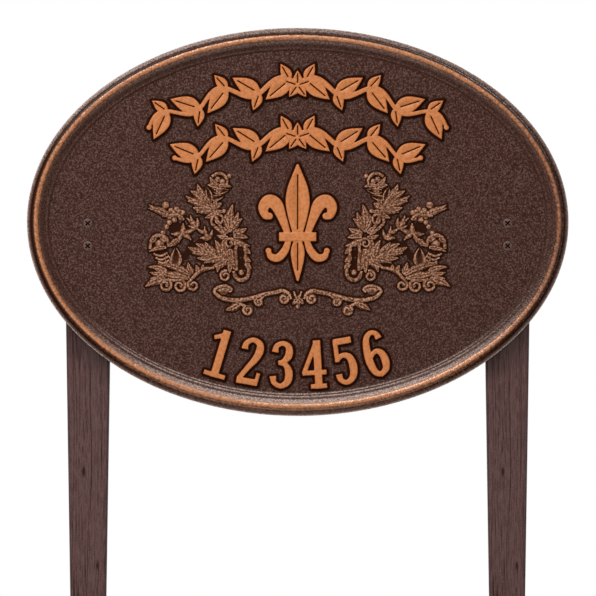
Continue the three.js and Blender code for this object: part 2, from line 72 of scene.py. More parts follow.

# %% [markdown]
# ## Small helpers
#
# Operators work on whatever is selected, so each step starts with nothing selected. A finished piece has
# its place in its mesh and one material, hangs under the root body, and hides the solid that it replaces.

# %% Helpers for operators
def deselect():
    if bpy.context.mode != "OBJECT":
        bpy.ops.object.mode_set(mode="OBJECT")
    bpy.ops.object.select_all(action="DESELECT")


def make_active(obj):
    deselect()
    obj.select_set(True)
    bpy.context.view_layer.objects.active = obj


def open_mesh(obj):
    make_active(obj)
    bpy.ops.object.mode_set(mode="EDIT")
    bpy.ops.mesh.select_mode(type="FACE")
    bpy.ops.mesh.select_all(action="SELECT")


def close_mesh():
    bpy.ops.mesh.select_all(action="SELECT")
    bpy.ops.mesh.normals_make_consistent(inside=False)
    bpy.ops.object.mode_set(mode="OBJECT")


def add_and_apply(obj, kind, **settings):
    make_active(obj)
    bpy.ops.object.modifier_add(type=kind)
    modifier = obj.modifiers[-1]
    for name, value in settings.items():
        setattr(modifier, name, value)
    bpy.ops.object.modifier_apply(modifier=modifier.name)


def join(parts):
    deselect()
    for part in parts:
        part.select_set(True)
    bpy.context.view_layer.objects.active = parts[0]
    bpy.ops.object.join()
    return bpy.context.object


def copy_of(obj):
    make_active(obj)
    bpy.ops.object.duplicate()
    return bpy.context.object


def cut(obj, cutter, operation="DIFFERENCE"):
    """Takes a cutter out of a piece, or keeps only what both share, and throws the cutter away."""
    add_and_apply(obj, "BOOLEAN", operation=operation, object=cutter, solver="EXACT")
    bpy.data.objects.remove(cutter)


FACING = 0.9


def open_facing(obj, way):
    """Opens a mesh with only the faces selected that look to the front, for -1, or to the back, for 1."""
    open_mesh(obj)
    bpy.ops.mesh.select_all(action="DESELECT")
    bpy.ops.object.mode_set(mode="OBJECT")
    for face in obj.data.polygons:
        face.select = face.normal.y * way > FACING
    bpy.ops.object.mode_set(mode="EDIT")


def settle():
    """Moves the active piece's place, turn and size into its mesh."""
    bpy.ops.object.transform_apply(location=True, rotation=True, scale=True)


def draw_out(depth):
    """Extrudes the selected faces along y, which is to the front where the depth is below zero."""
    bpy.ops.mesh.extrude_region_move(TRANSFORM_OT_translate={"value": (0, depth, 0)})


def new_grid(along, across):
    """A flat grid from -1 to 1 both ways, whose points are then put where they belong."""
    deselect()
    bpy.ops.mesh.primitive_grid_add(x_subdivisions=along, y_subdivisions=across, size=2)
    return bpy.context.object


def mixed(a, b, share):
    return a + (b - a) * share


def finish_piece(obj, name, node, slot, material, smooth_degrees=35):
    make_active(obj)
    settle()
    bpy.ops.object.shade_smooth_by_angle(angle=math.radians(smooth_degrees))
    obj.name = name
    obj.data.name = name
    obj.data.materials.clear()
    obj.data.materials.append(material)
    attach(obj, "root")
    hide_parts(node)
    print("made", name, "with", len(obj.data.polygons), "faces")
    return obj


# %% [markdown]
# ## Camera and studio
#
# The picture is taken straight from the front with a long lens, a little below the middle of the oval. One
# picture width spans 420 mm at the panel. The backdrop is white to the camera and in reflections, and the
# floor lies at the stakes' points, out of the picture.

# %% Camera
PICTURE_SPAN = 419.6 * MM
CAMERA_AWAY = 3.0
CAMERA_HEIGHT = 210.5 * MM
CAMERA_SIDE = 0.2 * MM
SENSOR = 36
FAR_CLIP = 100
UPRIGHT = (math.pi / 2, 0, 0)

deselect()
bpy.ops.object.camera_add(location=(CAMERA_SIDE, -CAMERA_AWAY, CAMERA_HEIGHT), rotation=UPRIGHT)
camera = bpy.context.object
camera.data.sensor_width = SENSOR
camera.data.lens = SENSOR * CAMERA_AWAY / PICTURE_SPAN
camera.data.clip_end = FAR_CLIP
bpy.context.scene.camera = camera
bpy.context.scene.view_settings.view_transform = "Standard"
print("lens:", round(camera.data.lens, 1), "mm")


# %% Floor
FLOOR_SPAN = 2.4
deselect()
bpy.ops.mesh.primitive_plane_add(size=FLOOR_SPAN, location=(0, 0, cad_box[0].z))
floor = bpy.context.object
floor.name = "studio_floor"
print("floor at", round(floor.location.z, 4))


# %% Lamps
def softbox(name, place, width, depth, watts):
    deselect()
    bpy.ops.object.light_add(type="AREA", location=place)
    light = bpy.context.object
    light.name = name
    light.data.shape = "RECTANGLE"
    light.data.size = width
    light.data.size_y = depth
    light.data.energy = watts
    light.visible_camera = False
    aim = plaque_centre - light.location
    light.rotation_euler = aim.to_track_quat("-Z", "Y").to_euler()


softbox("key_lamp", (-0.7, -0.95, 1.5), 1.9, 0.5, 27)
softbox("fill_lamp", (-0.5, -2.2, 0.6), 1.2, 1.2, 7)
softbox("back_lamp", (0.8, 1.8, 1.4), 1.2, 1.2, 20)
print("lamps:", [light.name for light in bpy.data.lights])


# %% Finish helpers
def new_material(name):
    material = bpy.data.materials.new(name)
    material.use_nodes = True
    material.node_tree.nodes.clear()
    return material


def put(tree, kind, inputs=None, **settings):
    """Adds a node, sets its options, and fills its inputs with values or with other nodes' outputs."""
    made = tree.nodes.new(kind)
    for name, value in settings.items():
        setattr(made, name, value)
    for key, value in (inputs or {}).items():
        if isinstance(value, bpy.types.NodeSocket):
            tree.links.new(value, made.inputs[key])
        else:
            made.inputs[key].default_value = value
    return made


def blend_colours(tree, amount, first, second):
    return put(tree, "ShaderNodeMix", {0: amount, 6: first, 7: second}, data_type="RGBA").outputs[2]


def ramp(tree, value, low, high):
    """0 below low, 1 above high, and smooth from one to the other."""
    inputs = {0: value, 1: low, 2: high}
    return put(tree, "ShaderNodeMapRange", inputs, interpolation_type="SMOOTHSTEP").outputs[0]


def maths(tree, operation, first, second=0.0):
    return put(tree, "ShaderNodeMath", {0: first, 1: second}, operation=operation).outputs[0]


def between(tree, share, low, high, start=0.0, end=1.0):
    """Goes evenly from low to high while the share goes from start to end."""
    inputs = {0: share, 1: start, 2: end, 3: low, 4: high}
    return put(tree, "ShaderNodeMapRange", inputs).outputs[0]


def speckle(tree, place, scale, detail):
    """Clouds from 0 to 1. The scale is about how many there are in a metre."""
    return put(tree, "ShaderNodeTexNoise", {"Vector": place, "Scale": scale, "Detail": detail}).outputs[0]


def ragged(tree, speckles, amount):
    """Speckles around zero, which fray an edge that they are added to."""
    return maths(tree, "MULTIPLY", maths(tree, "SUBTRACT", speckles, 0.5), amount)


def new_finish(name):
    """A new material, its nodes, and the place on the piece that its patterns follow."""
    material = new_material(name)
    tree = material.node_tree
    return material, tree, put(tree, "ShaderNodeTexCoord").outputs["Object"]


# %% World and floor finish
AMBIENT = 0.34
FLOOR_DULL = (0.86, 0.86, 0.86, 1)
FLOOR_CLEAN = (0.9, 0.9, 0.9, 1)
FLOOR_CLOUDS = (40.0, 4.0)

world = bpy.data.worlds.new("studio_white")
bpy.context.scene.world = world
world.use_nodes = True
tree = world.node_tree
tree.nodes.clear()
path = put(tree, "ShaderNodeLightPath").outputs
seen = maths(tree, "MAXIMUM", path["Is Camera Ray"], path["Is Glossy Ray"])
seen = maths(tree, "MAXIMUM", seen, path["Is Transmission Ray"])
strength = between(tree, seen, AMBIENT, 1.0)
sky = put(tree, "ShaderNodeBackground", {"Color": (1, 1, 1, 1), "Strength": strength})
put(tree, "ShaderNodeOutputWorld", {"Surface": sky.outputs[0]})

pale, tree, place = new_finish("pale_floor")
tint = blend_colours(tree, speckle(tree, place, *FLOOR_CLOUDS), FLOOR_DULL, FLOOR_CLEAN)
cover = put(tree, "ShaderNodeBsdfPrincipled", {"Base Color": tint, "Roughness": 0.9})
put(tree, "ShaderNodeOutputMaterial", {"Surface": cover.outputs[0]})
floor.data.materials.append(pale)
print("studio ready")

# %% [markdown]
# ## Bronze paint rubbed back to copper
#
# The casting is sprayed a dark red-brown over a sand-cast skin and lacquered, and copper shows where the
# paint was rubbed off. The skin is pebbled by grains of a little over a millimetre, whose tips catch the
# light as warm grey specks. Paint that was left in the hollows is nearly black and dull, and at the feet of
# the relief that near-black is also painted shade.

# %% Paint colours
BRONZE_PIT = (0.022, 0.0055, 0.003, 1)
BRONZE_DARK = (0.042, 0.013, 0.0085, 1)
BRONZE_LIGHT = (0.066, 0.023, 0.0145, 1)
CREVICE = (0.016, 0.0035, 0.0012, 1)
RIM_DARK = (0.034, 0.0112, 0.0056, 1)
COPPER = (0.54, 0.178, 0.046, 1)
COPPER_WORN = (0.44, 0.136, 0.034, 1)
COPPER_EDGE = (0.36, 0.085, 0.016, 1)
RIM_COPPER = (0.44, 0.155, 0.050, 1)
RIM_COPPER_WORN = (0.27, 0.088, 0.028, 1)
PALE_WEAR_AND_HIGHLIGHT = (0.45, 0.325, 0.28, 1)
COPPER_PAINTED_HIGHLIGHT = (0.55, 0.36, 0.25, 1)
SHEEN_TINT = (1.0, 0.88, 0.8, 1)
HILL_SHARE = 0.45
WORM_SCALE = 1.1
WORM_DETAIL = 2.0
TIP_BAND = (0.50, 0.67)
PIT_BAND = (0.36, 0.50)
PIT_GLOSS = 0.11
TIP_GLOSS = 0.45


def pebbles(tree, place, size):
    """Height of the pebbled skin from 0 to 1."""
    cells = put(tree, "ShaderNodeTexVoronoi", {"Vector": place, "Scale": 1 / size}, feature="SMOOTH_F1")
    hills = maths(tree, "SUBTRACT", 1.0, cells.outputs["Distance"])
    hills = maths(tree, "MULTIPLY", hills, HILL_SHARE)
    worms = maths(tree, "MULTIPLY", speckle(tree, place, WORM_SCALE / size, WORM_DETAIL), 1 - HILL_SHARE)
    return maths(tree, "ADD", hills, worms)


def height_of(tree, place):
    """Height above the panel's back in millimetres."""
    along = put(tree, "ShaderNodeSeparateXYZ", {0: place}).outputs["Y"]
    return maths(tree, "MULTIPLY", along, -1 / MM)


def painted_skin(tree, skin):
    """Colour and gloss of the bronze paint on a pebbled skin: dull in the pits and bright on the tips."""
    tips, pits = ramp(tree, skin, *TIP_BAND), ramp(tree, skin, *PIT_BAND)
    ground = blend_colours(tree, pits, BRONZE_PIT, BRONZE_DARK)
    return blend_colours(tree, tips, ground, BRONZE_LIGHT), between(tree, tips, PIT_GLOSS, TIP_GLOSS)


def lacquered(tree, colour, gloss, roughness, bump_height, bump, depth, metal=0.0):
    relief = put(tree, "ShaderNodeBump", {"Strength": bump, "Distance": depth, "Height": bump_height})
    inputs = {"Base Color": colour, "Roughness": roughness, "Specular IOR Level": gloss, "Metallic": metal}
    inputs |= {"Specular Tint": SHEEN_TINT, "Normal": relief.outputs[0]}
    surface = put(tree, "ShaderNodeBsdfPrincipled", inputs)
    put(tree, "ShaderNodeOutputMaterial", {"Surface": surface.outputs[0]})


# %% Finish of the panel
PANEL_PEBBLE = 1.18 * MM
RIM_CALM = 0.12
COPPER_CALM = 0.4
CALM_LEVEL = 0.58
RIM_RAGGED = 0.65
RIM_BLOTCHES = (520.0, 5.0)
RIM_DUST = (1000.0, 2.0)
RUB_BAND = (0.1, 0.9)
WEAR_AND_HIGHLIGHT_BAND = (0.06, 1.0)
FLAKE_BAND = (0.36, 0.58)
COPPER_HIGHLIGHT_SHARE = 0.8
COPPER_FLAKE = 0.2
RIM_GLOSS = 0.34
COPPER_GLOSS = 0.75


def panel_finish(name):
    """Copper, dark paint with painted shade, and pale wear with painted light follow the three channels on
    the rim.
    """
    material, tree, place = new_finish(name)
    paint = put(tree, "ShaderNodeVertexColor", layer_name="rim_paint").outputs
    channels = put(tree, "ShaderNodeSeparateColor", {0: paint["Color"]}).outputs
    calm = maths(tree, "MULTIPLY", paint["Alpha"], RIM_CALM)
    calm = maths(tree, "MAXIMUM", calm, maths(tree, "MULTIPLY", channels[0], COPPER_CALM))
    skin = between(tree, calm, pebbles(tree, place, PANEL_PEBBLE), CALM_LEVEL)
    blotches = speckle(tree, place, *RIM_BLOTCHES)
    rubbed = maths(tree, "ADD", channels[0], ragged(tree, blotches, RIM_RAGGED))
    rubbed = ramp(tree, rubbed, *RUB_BAND)
    bronze, gloss = painted_skin(tree, skin)
    # channel 1 darkens the crease with dark paint, and the step lines with dark paint and painted shade
    bronze = blend_colours(tree, channels[1], bronze, RIM_DARK)
    grit = between(tree, speckle(tree, place, *RIM_DUST), low=0.5, high=1.45, start=0.35, end=0.65)
    # channel 2 is pale wear at the outer edge, and painted highlight and painted light at the top and bottom
    worn = ramp(tree, maths(tree, "MULTIPLY", channels[2], grit), *WEAR_AND_HIGHLIGHT_BAND)
    bronze = blend_colours(tree, worn, bronze, PALE_WEAR_AND_HIGHLIGHT)
    copper = blend_colours(tree, ramp(tree, blotches, *FLAKE_BAND), RIM_COPPER_WORN, RIM_COPPER)
    # painted highlight on the copper where channel 2 is strong
    copper = blend_colours(tree, maths(tree, "MULTIPLY", worn, COPPER_HIGHLIGHT_SHARE), copper, COPPER_PAINTED_HIGHLIGHT)
    colour = blend_colours(tree, rubbed, bronze, copper)
    gloss = between(tree, paint["Alpha"], gloss, RIM_GLOSS)
    gloss = between(tree, channels[1], gloss, 0.0, end=0.8)
    gloss = between(tree, rubbed, gloss, COPPER_GLOSS)
    roughness = between(tree, paint["Alpha"], low=0.3, high=0.22)
    metal = maths(tree, "MULTIPLY", rubbed, COPPER_FLAKE)
    lacquered(tree, colour, gloss, roughness, skin, bump=1.0, depth=0.6 * MM, metal=metal)
    return material


# %% Finish of the bold relief
BOLD_TOP = 7.4
BOLD_PEBBLE = 1.1 * MM
BOLD_RAGGED = 0.3
BOLD_BLOTCHES = (420.0, 4.0)
BOLD_BAND = (0.36, 0.6)
COPPER_RUN = 0.2
DARK_RUN = 0.3
EDGE_FROM = 0.15
EDGE_TO = BOLD_TOP - 0.02
CREVICE_GLOSS = 0.02
BOLD_GLOSS = 0.45


def bold_finish(name, copper_from, dark_from):
    """Flat copper tops, and dark paint and painted shade on the sides and feet, by height in millimetres."""
    material, tree, place = new_finish(name)
    skin = pebbles(tree, place, BOLD_PEBBLE)
    blotches = speckle(tree, place, *BOLD_BLOTCHES)
    worn_height = maths(tree, "ADD", height_of(tree, place), ragged(tree, blotches, BOLD_RAGGED))
    rubbed = ramp(tree, worn_height, copper_from, copper_from + COPPER_RUN)
    dark = ramp(tree, worn_height, dark_from, dark_from + DARK_RUN)
    bronze, gloss = painted_skin(tree, skin)
    # near-black on the sides and at the feet: dark paint that is also painted shade
    bronze = blend_colours(tree, dark, bronze, CREVICE)
    edge = ramp(tree, worn_height, copper_from + EDGE_FROM, EDGE_TO)
    copper = blend_colours(tree, ramp(tree, blotches, *BOLD_BAND), COPPER_WORN, COPPER)
    copper = blend_colours(tree, edge, COPPER_EDGE, copper)
    colour = blend_colours(tree, rubbed, bronze, copper)
    gloss = between(tree, dark, gloss, CREVICE_GLOSS)
    gloss = between(tree, rubbed, gloss, BOLD_GLOSS)
    lacquered(tree, colour, gloss, roughness=0.34, bump_height=skin, bump=0.5, depth=0.35 * MM)
    return material


# %% [markdown]
# ## The panel and its rim
#
# The panel starts as a filled oval ring that lies on the back plane. Raising it once gives the outer wall,
# and a chain of insets then walks inwards over the rim: an inset keeps the same distance to the edge all
# round, which scaling an oval wouldn't do. Each inset is a step of the section: outer flange, groove, bead,
# cove and two small steps down to the field.

# %% Panel
FIELD = 5.0 * MM
RIM_POINTS = 768
BEAD_RADIUS = 2.8 * MM
BEAD_INSET = 6.2 * MM
BEAD_MIDDLE = 6.7 * MM
COVE_WIDTH = 3.66 * MM
COVE_FOOT = 6.0 * MM
COVE_STEPS = 8
COVE_BEND = 1.25
FLANGE = [(0, 2.2), (0.1, 2.5), (0.3, 2.7), (0.9, 3.05), (1.5, 3.37), (2.1, 3.66), (2.5, 3.8), (2.8, 3.72),
          (3.1, 3.55), (3.3, 3.6)]
STEPS = [(0.2, 5.95), (0.9, 5.55), (1.1, 5.5), (1.7, 5.5), (2.3, 5.5), (2.5, 5.45), (3.3, 5.05), (3.5, 5.0),
         (4.0, 5.0), (4.8, 5.0)]


def rim_section():
    """Points of inset from the outer edge and height above the back, from the wall's top to the field."""
    section = [(inset * MM, height * MM) for inset, height in FLANGE]
    for degrees in range(174, 21, -8):
        angle = math.radians(degrees)
        inset = BEAD_INSET + BEAD_RADIUS * math.cos(angle)
        section.append((inset, BEAD_MIDDLE + BEAD_RADIUS * math.sin(angle)))
    cove_inset, cove_height = section[-1]
    for i in range(1, COVE_STEPS + 1):
        t = i / COVE_STEPS
        section.append((cove_inset + COVE_WIDTH * t, mixed(COVE_FOOT, cove_height, (1 - t) ** COVE_BEND)))
    edge = cove_inset + COVE_WIDTH
    return section + [(edge + run * MM, height * MM) for run, height in STEPS]


deselect()
bpy.ops.mesh.primitive_circle_add(vertices=RIM_POINTS, radius=1, fill_type="NGON", rotation=UPRIGHT)
panel = bpy.context.object
panel.scale = (half_wide, half_high, 1)
panel.location = (0, 0, plaque_centre.z)
settle()
open_mesh(panel)
section = rim_section()
draw_out(-section[0][1])
for (inset, height), (next_inset, next_height) in zip(section, section[1:]):
    bpy.ops.mesh.inset(thickness=next_inset - inset, depth=next_height - height, use_even_offset=True)
close_mesh()
print("panel faces:", len(panel.data.polygons), "depth:", round(panel.dimensions.y, 5))

# %% [markdown]
# The four screws go through the panel in countersunk holes. A cutter turned from a cone and a drill is
# taken out of the panel at each of the four places.

# %% Screw holes in the panel
SCREW_RADIUS = 1.75 * MM
HEAD_RADIUS = 3.4 * MM
HOLE_GAP = 0.3 * MM
HEAD_CONE = 2.2 * MM
SIDES = ("left", "right")
LEVELS = ("upper", "lower")
HOLE_SIDES = 48
DRILL_FRONT = -6 * MM
DRILL_BACK = 2 * MM
CUT_OVERRUN = 3 * MM


def axis_of(node):
    """The x and z of a fastener's axis, which runs along y."""
    low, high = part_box(node)
    return (low.x + high.x) / 2, (low.z + high.z) / 2


def drum(x, z, radius, low, high, sides):
    """A cylinder along y, from low to high."""
    deselect()
    bpy.ops.mesh.primitive_cylinder_add(vertices=sides, radius=radius, depth=high - low, rotation=UPRIGHT)
    made = bpy.context.object
    made.location = (x, (low + high) / 2, z)
    settle()
    return made


def hole_cutter(x, z):
    cutter = drum(x, z, SCREW_RADIUS + HOLE_GAP, DRILL_FRONT, DRILL_BACK, HOLE_SIDES)
    open_facing(cutter, -1)
    rise = -(FIELD - HEAD_CONE) - min(v.co.y for v in cutter.data.vertices)
    bpy.ops.transform.translate(value=(0, rise, 0))
    draw_out(-HEAD_CONE)
    grow = (HEAD_RADIUS + HOLE_GAP) / (SCREW_RADIUS + HOLE_GAP)
    bpy.ops.transform.resize(value=(grow, 1, grow), center_override=(x, -FIELD, z))
    draw_out(-CUT_OVERRUN)
    close_mesh()
    return cutter


screw_axes = [axis_of(f"{side}_{level}_screw") for side in SIDES for level in LEVELS]
cut(panel, join([hole_cutter(*axis) for axis in screw_axes]))
print("cut", len(screw_axes), "countersunk holes")

# %% [markdown]
# The rim is rubbed along the bead, dark in the creases beside it, and worn thin at the outermost edge, where
# the pale paint also stands in for the light that the edge catches. All three follow the distance to the
# outer edge, so they are painted on the panel's points as three channels of a colour. Its alpha says where
# the rim is smoother than the field. The copper is darker at the right, as painted shade for light that falls
# from the left. A painted highlight lies on the flange, the bead and the cove at the top. At the bottom
# painted light brings copper onto the flange, the crease and the bead, and makes the bead, the cove and the
# edges of the steps pale. The dark lines at the steps are dark paint and painted shade, and are left out at
# the bottom, where the steps face the light. The bead was rubbed by hand and is a little lumpy, so its points
# are moved along their normals by a noise. It lies a little further in at the top, the bottom and the right.
# A table pairs an inset in millimetres with a strength, and one goes by the height on the oval instead.

# %% Lumps and paint on the rim
COPPER_ALONG = [(4.6, 0), (5.8, 1), (7.3, 1), (7.9, 0.66), (8.6, 0.46), (9.2, 0.26), (10, 0)]
CREASE_ALONG = [(1.9, 0), (2.6, 0.95), (4.3, 0.95), (5.1, 0)]
CREASE_BY_RISE = [(-1, 0.15), (-0.8, 0.9), (0.2, 1.0), (0.7, 0.5), (1, 0.8)]
STEP_LINES_PAINT_AND_SHADE_ALONG = [(9.8, 0), (10.4, 0.25), (11.8, 0.25), (12.2, 0.6), (12.8, 0.2), (13.2, 0), (14.4, 0),
               (14.8, 0.7), (15.5, 0.62), (16.2, 0)]
EDGE_WEAR_AND_HIGHLIGHT_ALONG = [(0.0, 0.6), (0.12, 0.85), (0.7, 0.5), (1.1, 0.25), (2.0, 0.14), (2.6, 0), (8.4, 0),
              (9.0, 0.1), (9.8, 0.05), (10.4, 0)]
TOP_PAINTED_HIGHLIGHT_ALONG = [(0.0, 0.55), (0.12, 0.8), (1.0, 0.44), (2.4, 0.44), (3.0, 0.4), (3.5, 0), (4.8, 0),
                  (5.3, 0.42), (5.9, 0.42), (6.8, 0), (8.0, 0), (8.6, 0.38), (9.8, 0.32), (10.8, 0.25),
                  (11.8, 0)]
BOTTOM_PAINTED_HIGHLIGHT_ALONG = [(6.6, 0), (7.6, 0.7), (8.2, 0.95), (9.2, 0.75), (10.0, 0.7), (10.5, 0.9), (11.1, 0.4),
                     (11.6, 0.1), (12.3, 0.1), (12.6, 0.6), (13.4, 0.85), (13.6, 0.2), (14.2, 0.1),
                     (14.76, 0.85), (15.2, 0.7), (15.8, 0)]
BOTTOM_PAINTED_LIGHT_ALONG = [(1.2, 0.1), (2.6, 0.34), (3.4, 0.38), (4.4, 0.5), (7.4, 0.6), (8.2, 0.25), (9.0, 0)]
SHIFT_ALONG = [(2.4, 0), (3.6, 1), (15.6, 1), (18, 0)]
SMOOTH_ALONG = [(0, 1), (8.6, 1), (9.8, 0.4), (15, 0.3), (16.4, 0)]
LUMPS_ALONG = [(4.2, 0), (5.0, 1), (7.4, 1), (9.2, 0)]
RIGHT_PAINTED_SHADE = 0.55
LEFT_FADE = 0.2
TOP_SHIFT = 0.7
BOTTOM_SHIFT = 0.55
RIGHT_SHIFT = 0.35
RIGHT_CREASE_FADE = 0.1
RIGHT_TRACE = 0.26
TOP_RUB = 0.5
LUMP = 0.24 * MM
LUMP_PITCH = 2.6 * MM
LINE_PITCH = 16 * MM
LINE_STRENGTH = 0.8
LINE_SPREAD = 0.5
FRONT_FROM = 2.0 * MM
TOP_POWER = 4
BOTTOM_FROM = 0.3
SHIFT_GAIN = 1.5
EDGE_ROUNDS = 4


def along_table(table, value):
    """Reads a table of pairs as a broken line."""
    if value <= table[0][0]:
        return table[0][1]
    for (a, low), (b, high) in zip(table, table[1:]):
        if value <= b:
            return mixed(low, high, (value - a) / (b - a))
    return table[-1][1]


def inset_of(x, z):
    """Distance to the outer edge of the oval."""
    px, pz = abs(x), abs(z)
    tx = tz = math.sqrt(0.5)
    gap = half_wide ** 2 - half_high ** 2
    for _ in range(EDGE_ROUNDS):
        ex, ez = gap * tx ** 3 / half_wide, -gap * tz ** 3 / half_high
        reach = math.hypot(half_wide * tx - ex, half_high * tz - ez)
        away = max(math.hypot(px - ex, pz - ez), 1e-9)
        tx = min(1, max(0, ((px - ex) * reach / away + ex) / half_wide))
        tz = min(1, max(0, ((pz - ez) * reach / away + ez) / half_high))
        length = math.hypot(tx, tz)
        tx, tz = tx / length, tz / length
    return math.hypot(px - half_wide * tx, pz - half_high * tz)


paint = panel.data.color_attributes.new("rim_paint", "FLOAT_COLOR", "POINT")
normals = [vertex.normal.copy() for vertex in panel.data.vertices]
for vertex, normal in zip(panel.data.vertices, normals):
    inset = inset_of(vertex.co.x, vertex.co.z - plaque_centre.z) / MM
    front = 1 if vertex.co.y < -FRONT_FROM else 0
    rise = (vertex.co.z - plaque_centre.z) / half_high
    top, bottom = max(rise, 0) ** TOP_POWER, max(-rise - BOTTOM_FROM, 0) / (1 - BOTTOM_FROM)
    aside = 2 * vertex.co.x / half_wide
    dark = along_table(CREASE_ALONG, inset - TOP_RUB * top) * along_table(CREASE_BY_RISE, rise)
    right = max(aside - 1, 0)
    dark *= 1 - RIGHT_CREASE_FADE * right
    # dark lines at the steps: dark paint and painted shade, left out at the bottom where the steps face the
    # light
    lines = along_table(STEP_LINES_PAINT_AND_SHADE_ALONG, inset) * (1 - bottom)
    lines *= LINE_STRENGTH + LINE_SPREAD * noise.noise(vertex.co / LINE_PITCH)
    # painted shade: less copper towards the right side, for light that falls from the left
    fade = 1 - RIGHT_PAINTED_SHADE * right - LEFT_FADE * max(-aside - 1, 0)
    copper = along_table(COPPER_ALONG, inset + TOP_RUB * top) * fade
    # painted light: copper over the flange, the crease and the bead, only at the bottom
    copper = max(copper, bottom * along_table(BOTTOM_PAINTED_LIGHT_ALONG, inset), RIGHT_TRACE * right * dark)
    # pale wear at the outer edge, also standing in for the light it catches, and painted highlights at the
    # top and bottom
    worn = mixed(along_table(EDGE_WEAR_AND_HIGHLIGHT_ALONG, inset), along_table(TOP_PAINTED_HIGHLIGHT_ALONG, inset), max(rise, 0))
    worn = max(worn, bottom * along_table(BOTTOM_PAINTED_HIGHLIGHT_ALONG, inset))
    channels = [copper, max(dark, lines), worn, along_table(SMOOTH_ALONG, inset)]
    paint.data[vertex.index].color = [front * channel for channel in channels]
    lump = front * along_table(LUMPS_ALONG, inset) * noise.noise(vertex.co / LUMP_PITCH)
    shift = TOP_SHIFT * top + BOTTOM_SHIFT * min(SHIFT_GAIN * bottom, 1) + RIGHT_SHIFT * right
    inwards = Vector((-vertex.co.x / half_wide ** 2, 0, -rise / half_high)).normalized()
    vertex.co += normal * lump * LUMP + inwards * front * shift * along_table(SHIFT_ALONG, inset) * MM
finish_piece(panel, "plaque_panel", "plaque_casting", "plaque_paint", panel_finish("panel_bronze"))

# %% [markdown]
# ## Lines and outlines for the ornament
#
# The ornament is drawn flat, in millimetres from the panel's centre, and then raised. A line is a smooth
# curve through a few chosen points. A ribbon follows a line with a width at each point. A leaf is a
# formula.

# %% Lines and outlines
LINE_STEPS = 24
LEAF_STEPS = 16
LEAF_BELLY = 0.75
DISC_POINTS = 24


def smooth_line(points, count):
    """Evenly spaced points on a smooth curve through the points. Every number of a point is carried along."""
    ends = [points[0], *points, points[-1]]
    dense = []
    for a, b, c, d in zip(ends, ends[1:], ends[2:], ends[3:]):
        for i in range(LINE_STEPS):
            t = i / LINE_STEPS
            dense.append(tuple(
                0.5 * (2 * q + (r - p) * t + (2 * p - 5 * q + 4 * r - s) * t * t
                       + (3 * q - p - 3 * r + s) * t ** 3)
                for p, q, r, s in zip(a, b, c, d)
            ))
    dense.append(tuple(points[-1]))
    runs = [0.0]
    for p, q in zip(dense, dense[1:]):
        runs.append(runs[-1] + math.hypot(q[0] - p[0], q[1] - p[1]))
    even = []
    at = 0
    for i in range(count):
        run = runs[-1] * i / (count - 1)
        while at + 2 < len(runs) and runs[at + 1] < run:
            at += 1
        share = (run - runs[at]) / max(runs[at + 1] - runs[at], 1e-9)
        even.append(tuple(mixed(p, q, share) for p, q in zip(dense[at], dense[at + 1])))
    return even


def across_of(line):
    """Unit vectors across a line, to its left."""
    across = []
    for i in range(len(line)):
        p, q = line[max(i - 1, 0)], line[min(i + 1, len(line) - 1)]
        along = Vector((q[0] - p[0], q[1] - p[1])).normalized()
        across.append(Vector((-along.y, along.x)))
    return across


def ribbon(points, count):
    """Outline of a ribbon. Each point is x, y and half the width there."""
    line = smooth_line(points, count) if len(points) > 2 else points
    left, right = [], []
    for (x, y, half), side in zip(line, across_of(line)):
        left.append((x + side.x * half, y + side.y * half))
        right.append((x - side.x * half, y - side.y * half))
    return right + left[::-1]


def spiral(centre, radius, end_radius, start, sweep, half, end_half, count):
    """Points of a spiral about a centre, in degrees, with half-widths."""
    points = []
    for i in range(count + 1):
        t = i / count
        angle = math.radians(start + sweep * t)
        r = mixed(radius, end_radius, t)
        x = centre[0] + r * math.cos(angle)
        points.append((x, centre[1] + r * math.sin(angle), mixed(half, end_half, t)))
    return points


def leaf(length, width):
    """Outline of a pointed leaf along +x."""
    steps = [i / LEAF_STEPS for i in range(LEAF_STEPS + 1)]
    edge = [(length * t, (width / 2) * math.sin(math.pi * t ** LEAF_BELLY)) for t in steps]
    return [(x, -y) for x, y in edge] + edge[-2:0:-1]


def disc(at, radius):
    turns = [2 * math.pi * i / DISC_POINTS for i in range(DISC_POINTS)]
    return [(at[0] + radius * math.cos(turn), at[1] + radius * math.sin(turn)) for turn in turns]


def placed(outline, at, degrees):
    c, s = math.cos(math.radians(degrees)), math.sin(math.radians(degrees))
    return [(at[0] + c * p[0] - s * p[1], at[1] + s * p[0] + c * p[1], *p[2:]) for p in outline]


def mirrored(outline):
    return [(-p[0], *p[1:]) for p in outline]


def anticlockwise(outline):
    area = sum(p[0] * q[1] - q[0] * p[1] for p, q in zip(outline, outline[1:] + outline[:1]))
    return outline if area > 0 else outline[::-1]


def grown(outline, amount):
    """The outline moved outwards all round."""
    moved = []
    for i, p in enumerate(outline):
        before = Vector(p[:2]) - Vector(outline[i - 1][:2])
        after = Vector(outline[(i + 1) % len(outline)][:2]) - Vector(p[:2])
        normals = [Vector((d.y, -d.x)).normalized() for d in (before, after)]
        middle = (normals[0] + normals[1]).normalized()
        reach = amount / max(middle.dot(normals[0]), 0.5)
        moved.append((p[0] + middle.x * reach, p[1] + middle.y * reach))
    return moved


# %% [markdown]
# ## Bold relief
#
# The arched vines, the lily and the numerals are flat-topped and bright. Each outline becomes a plate: a
# ring of points is filled, raised, and narrowed by insets, so that its sides slope as a casting's must to
# leave the sand. All plates of one ornament are joined and remeshed into one skin, which runs them together
# as metal does. Two swollen and flattened copies of that skin make the fillet at its foot, where the dark
# paint stayed, and which also holds painted shade.

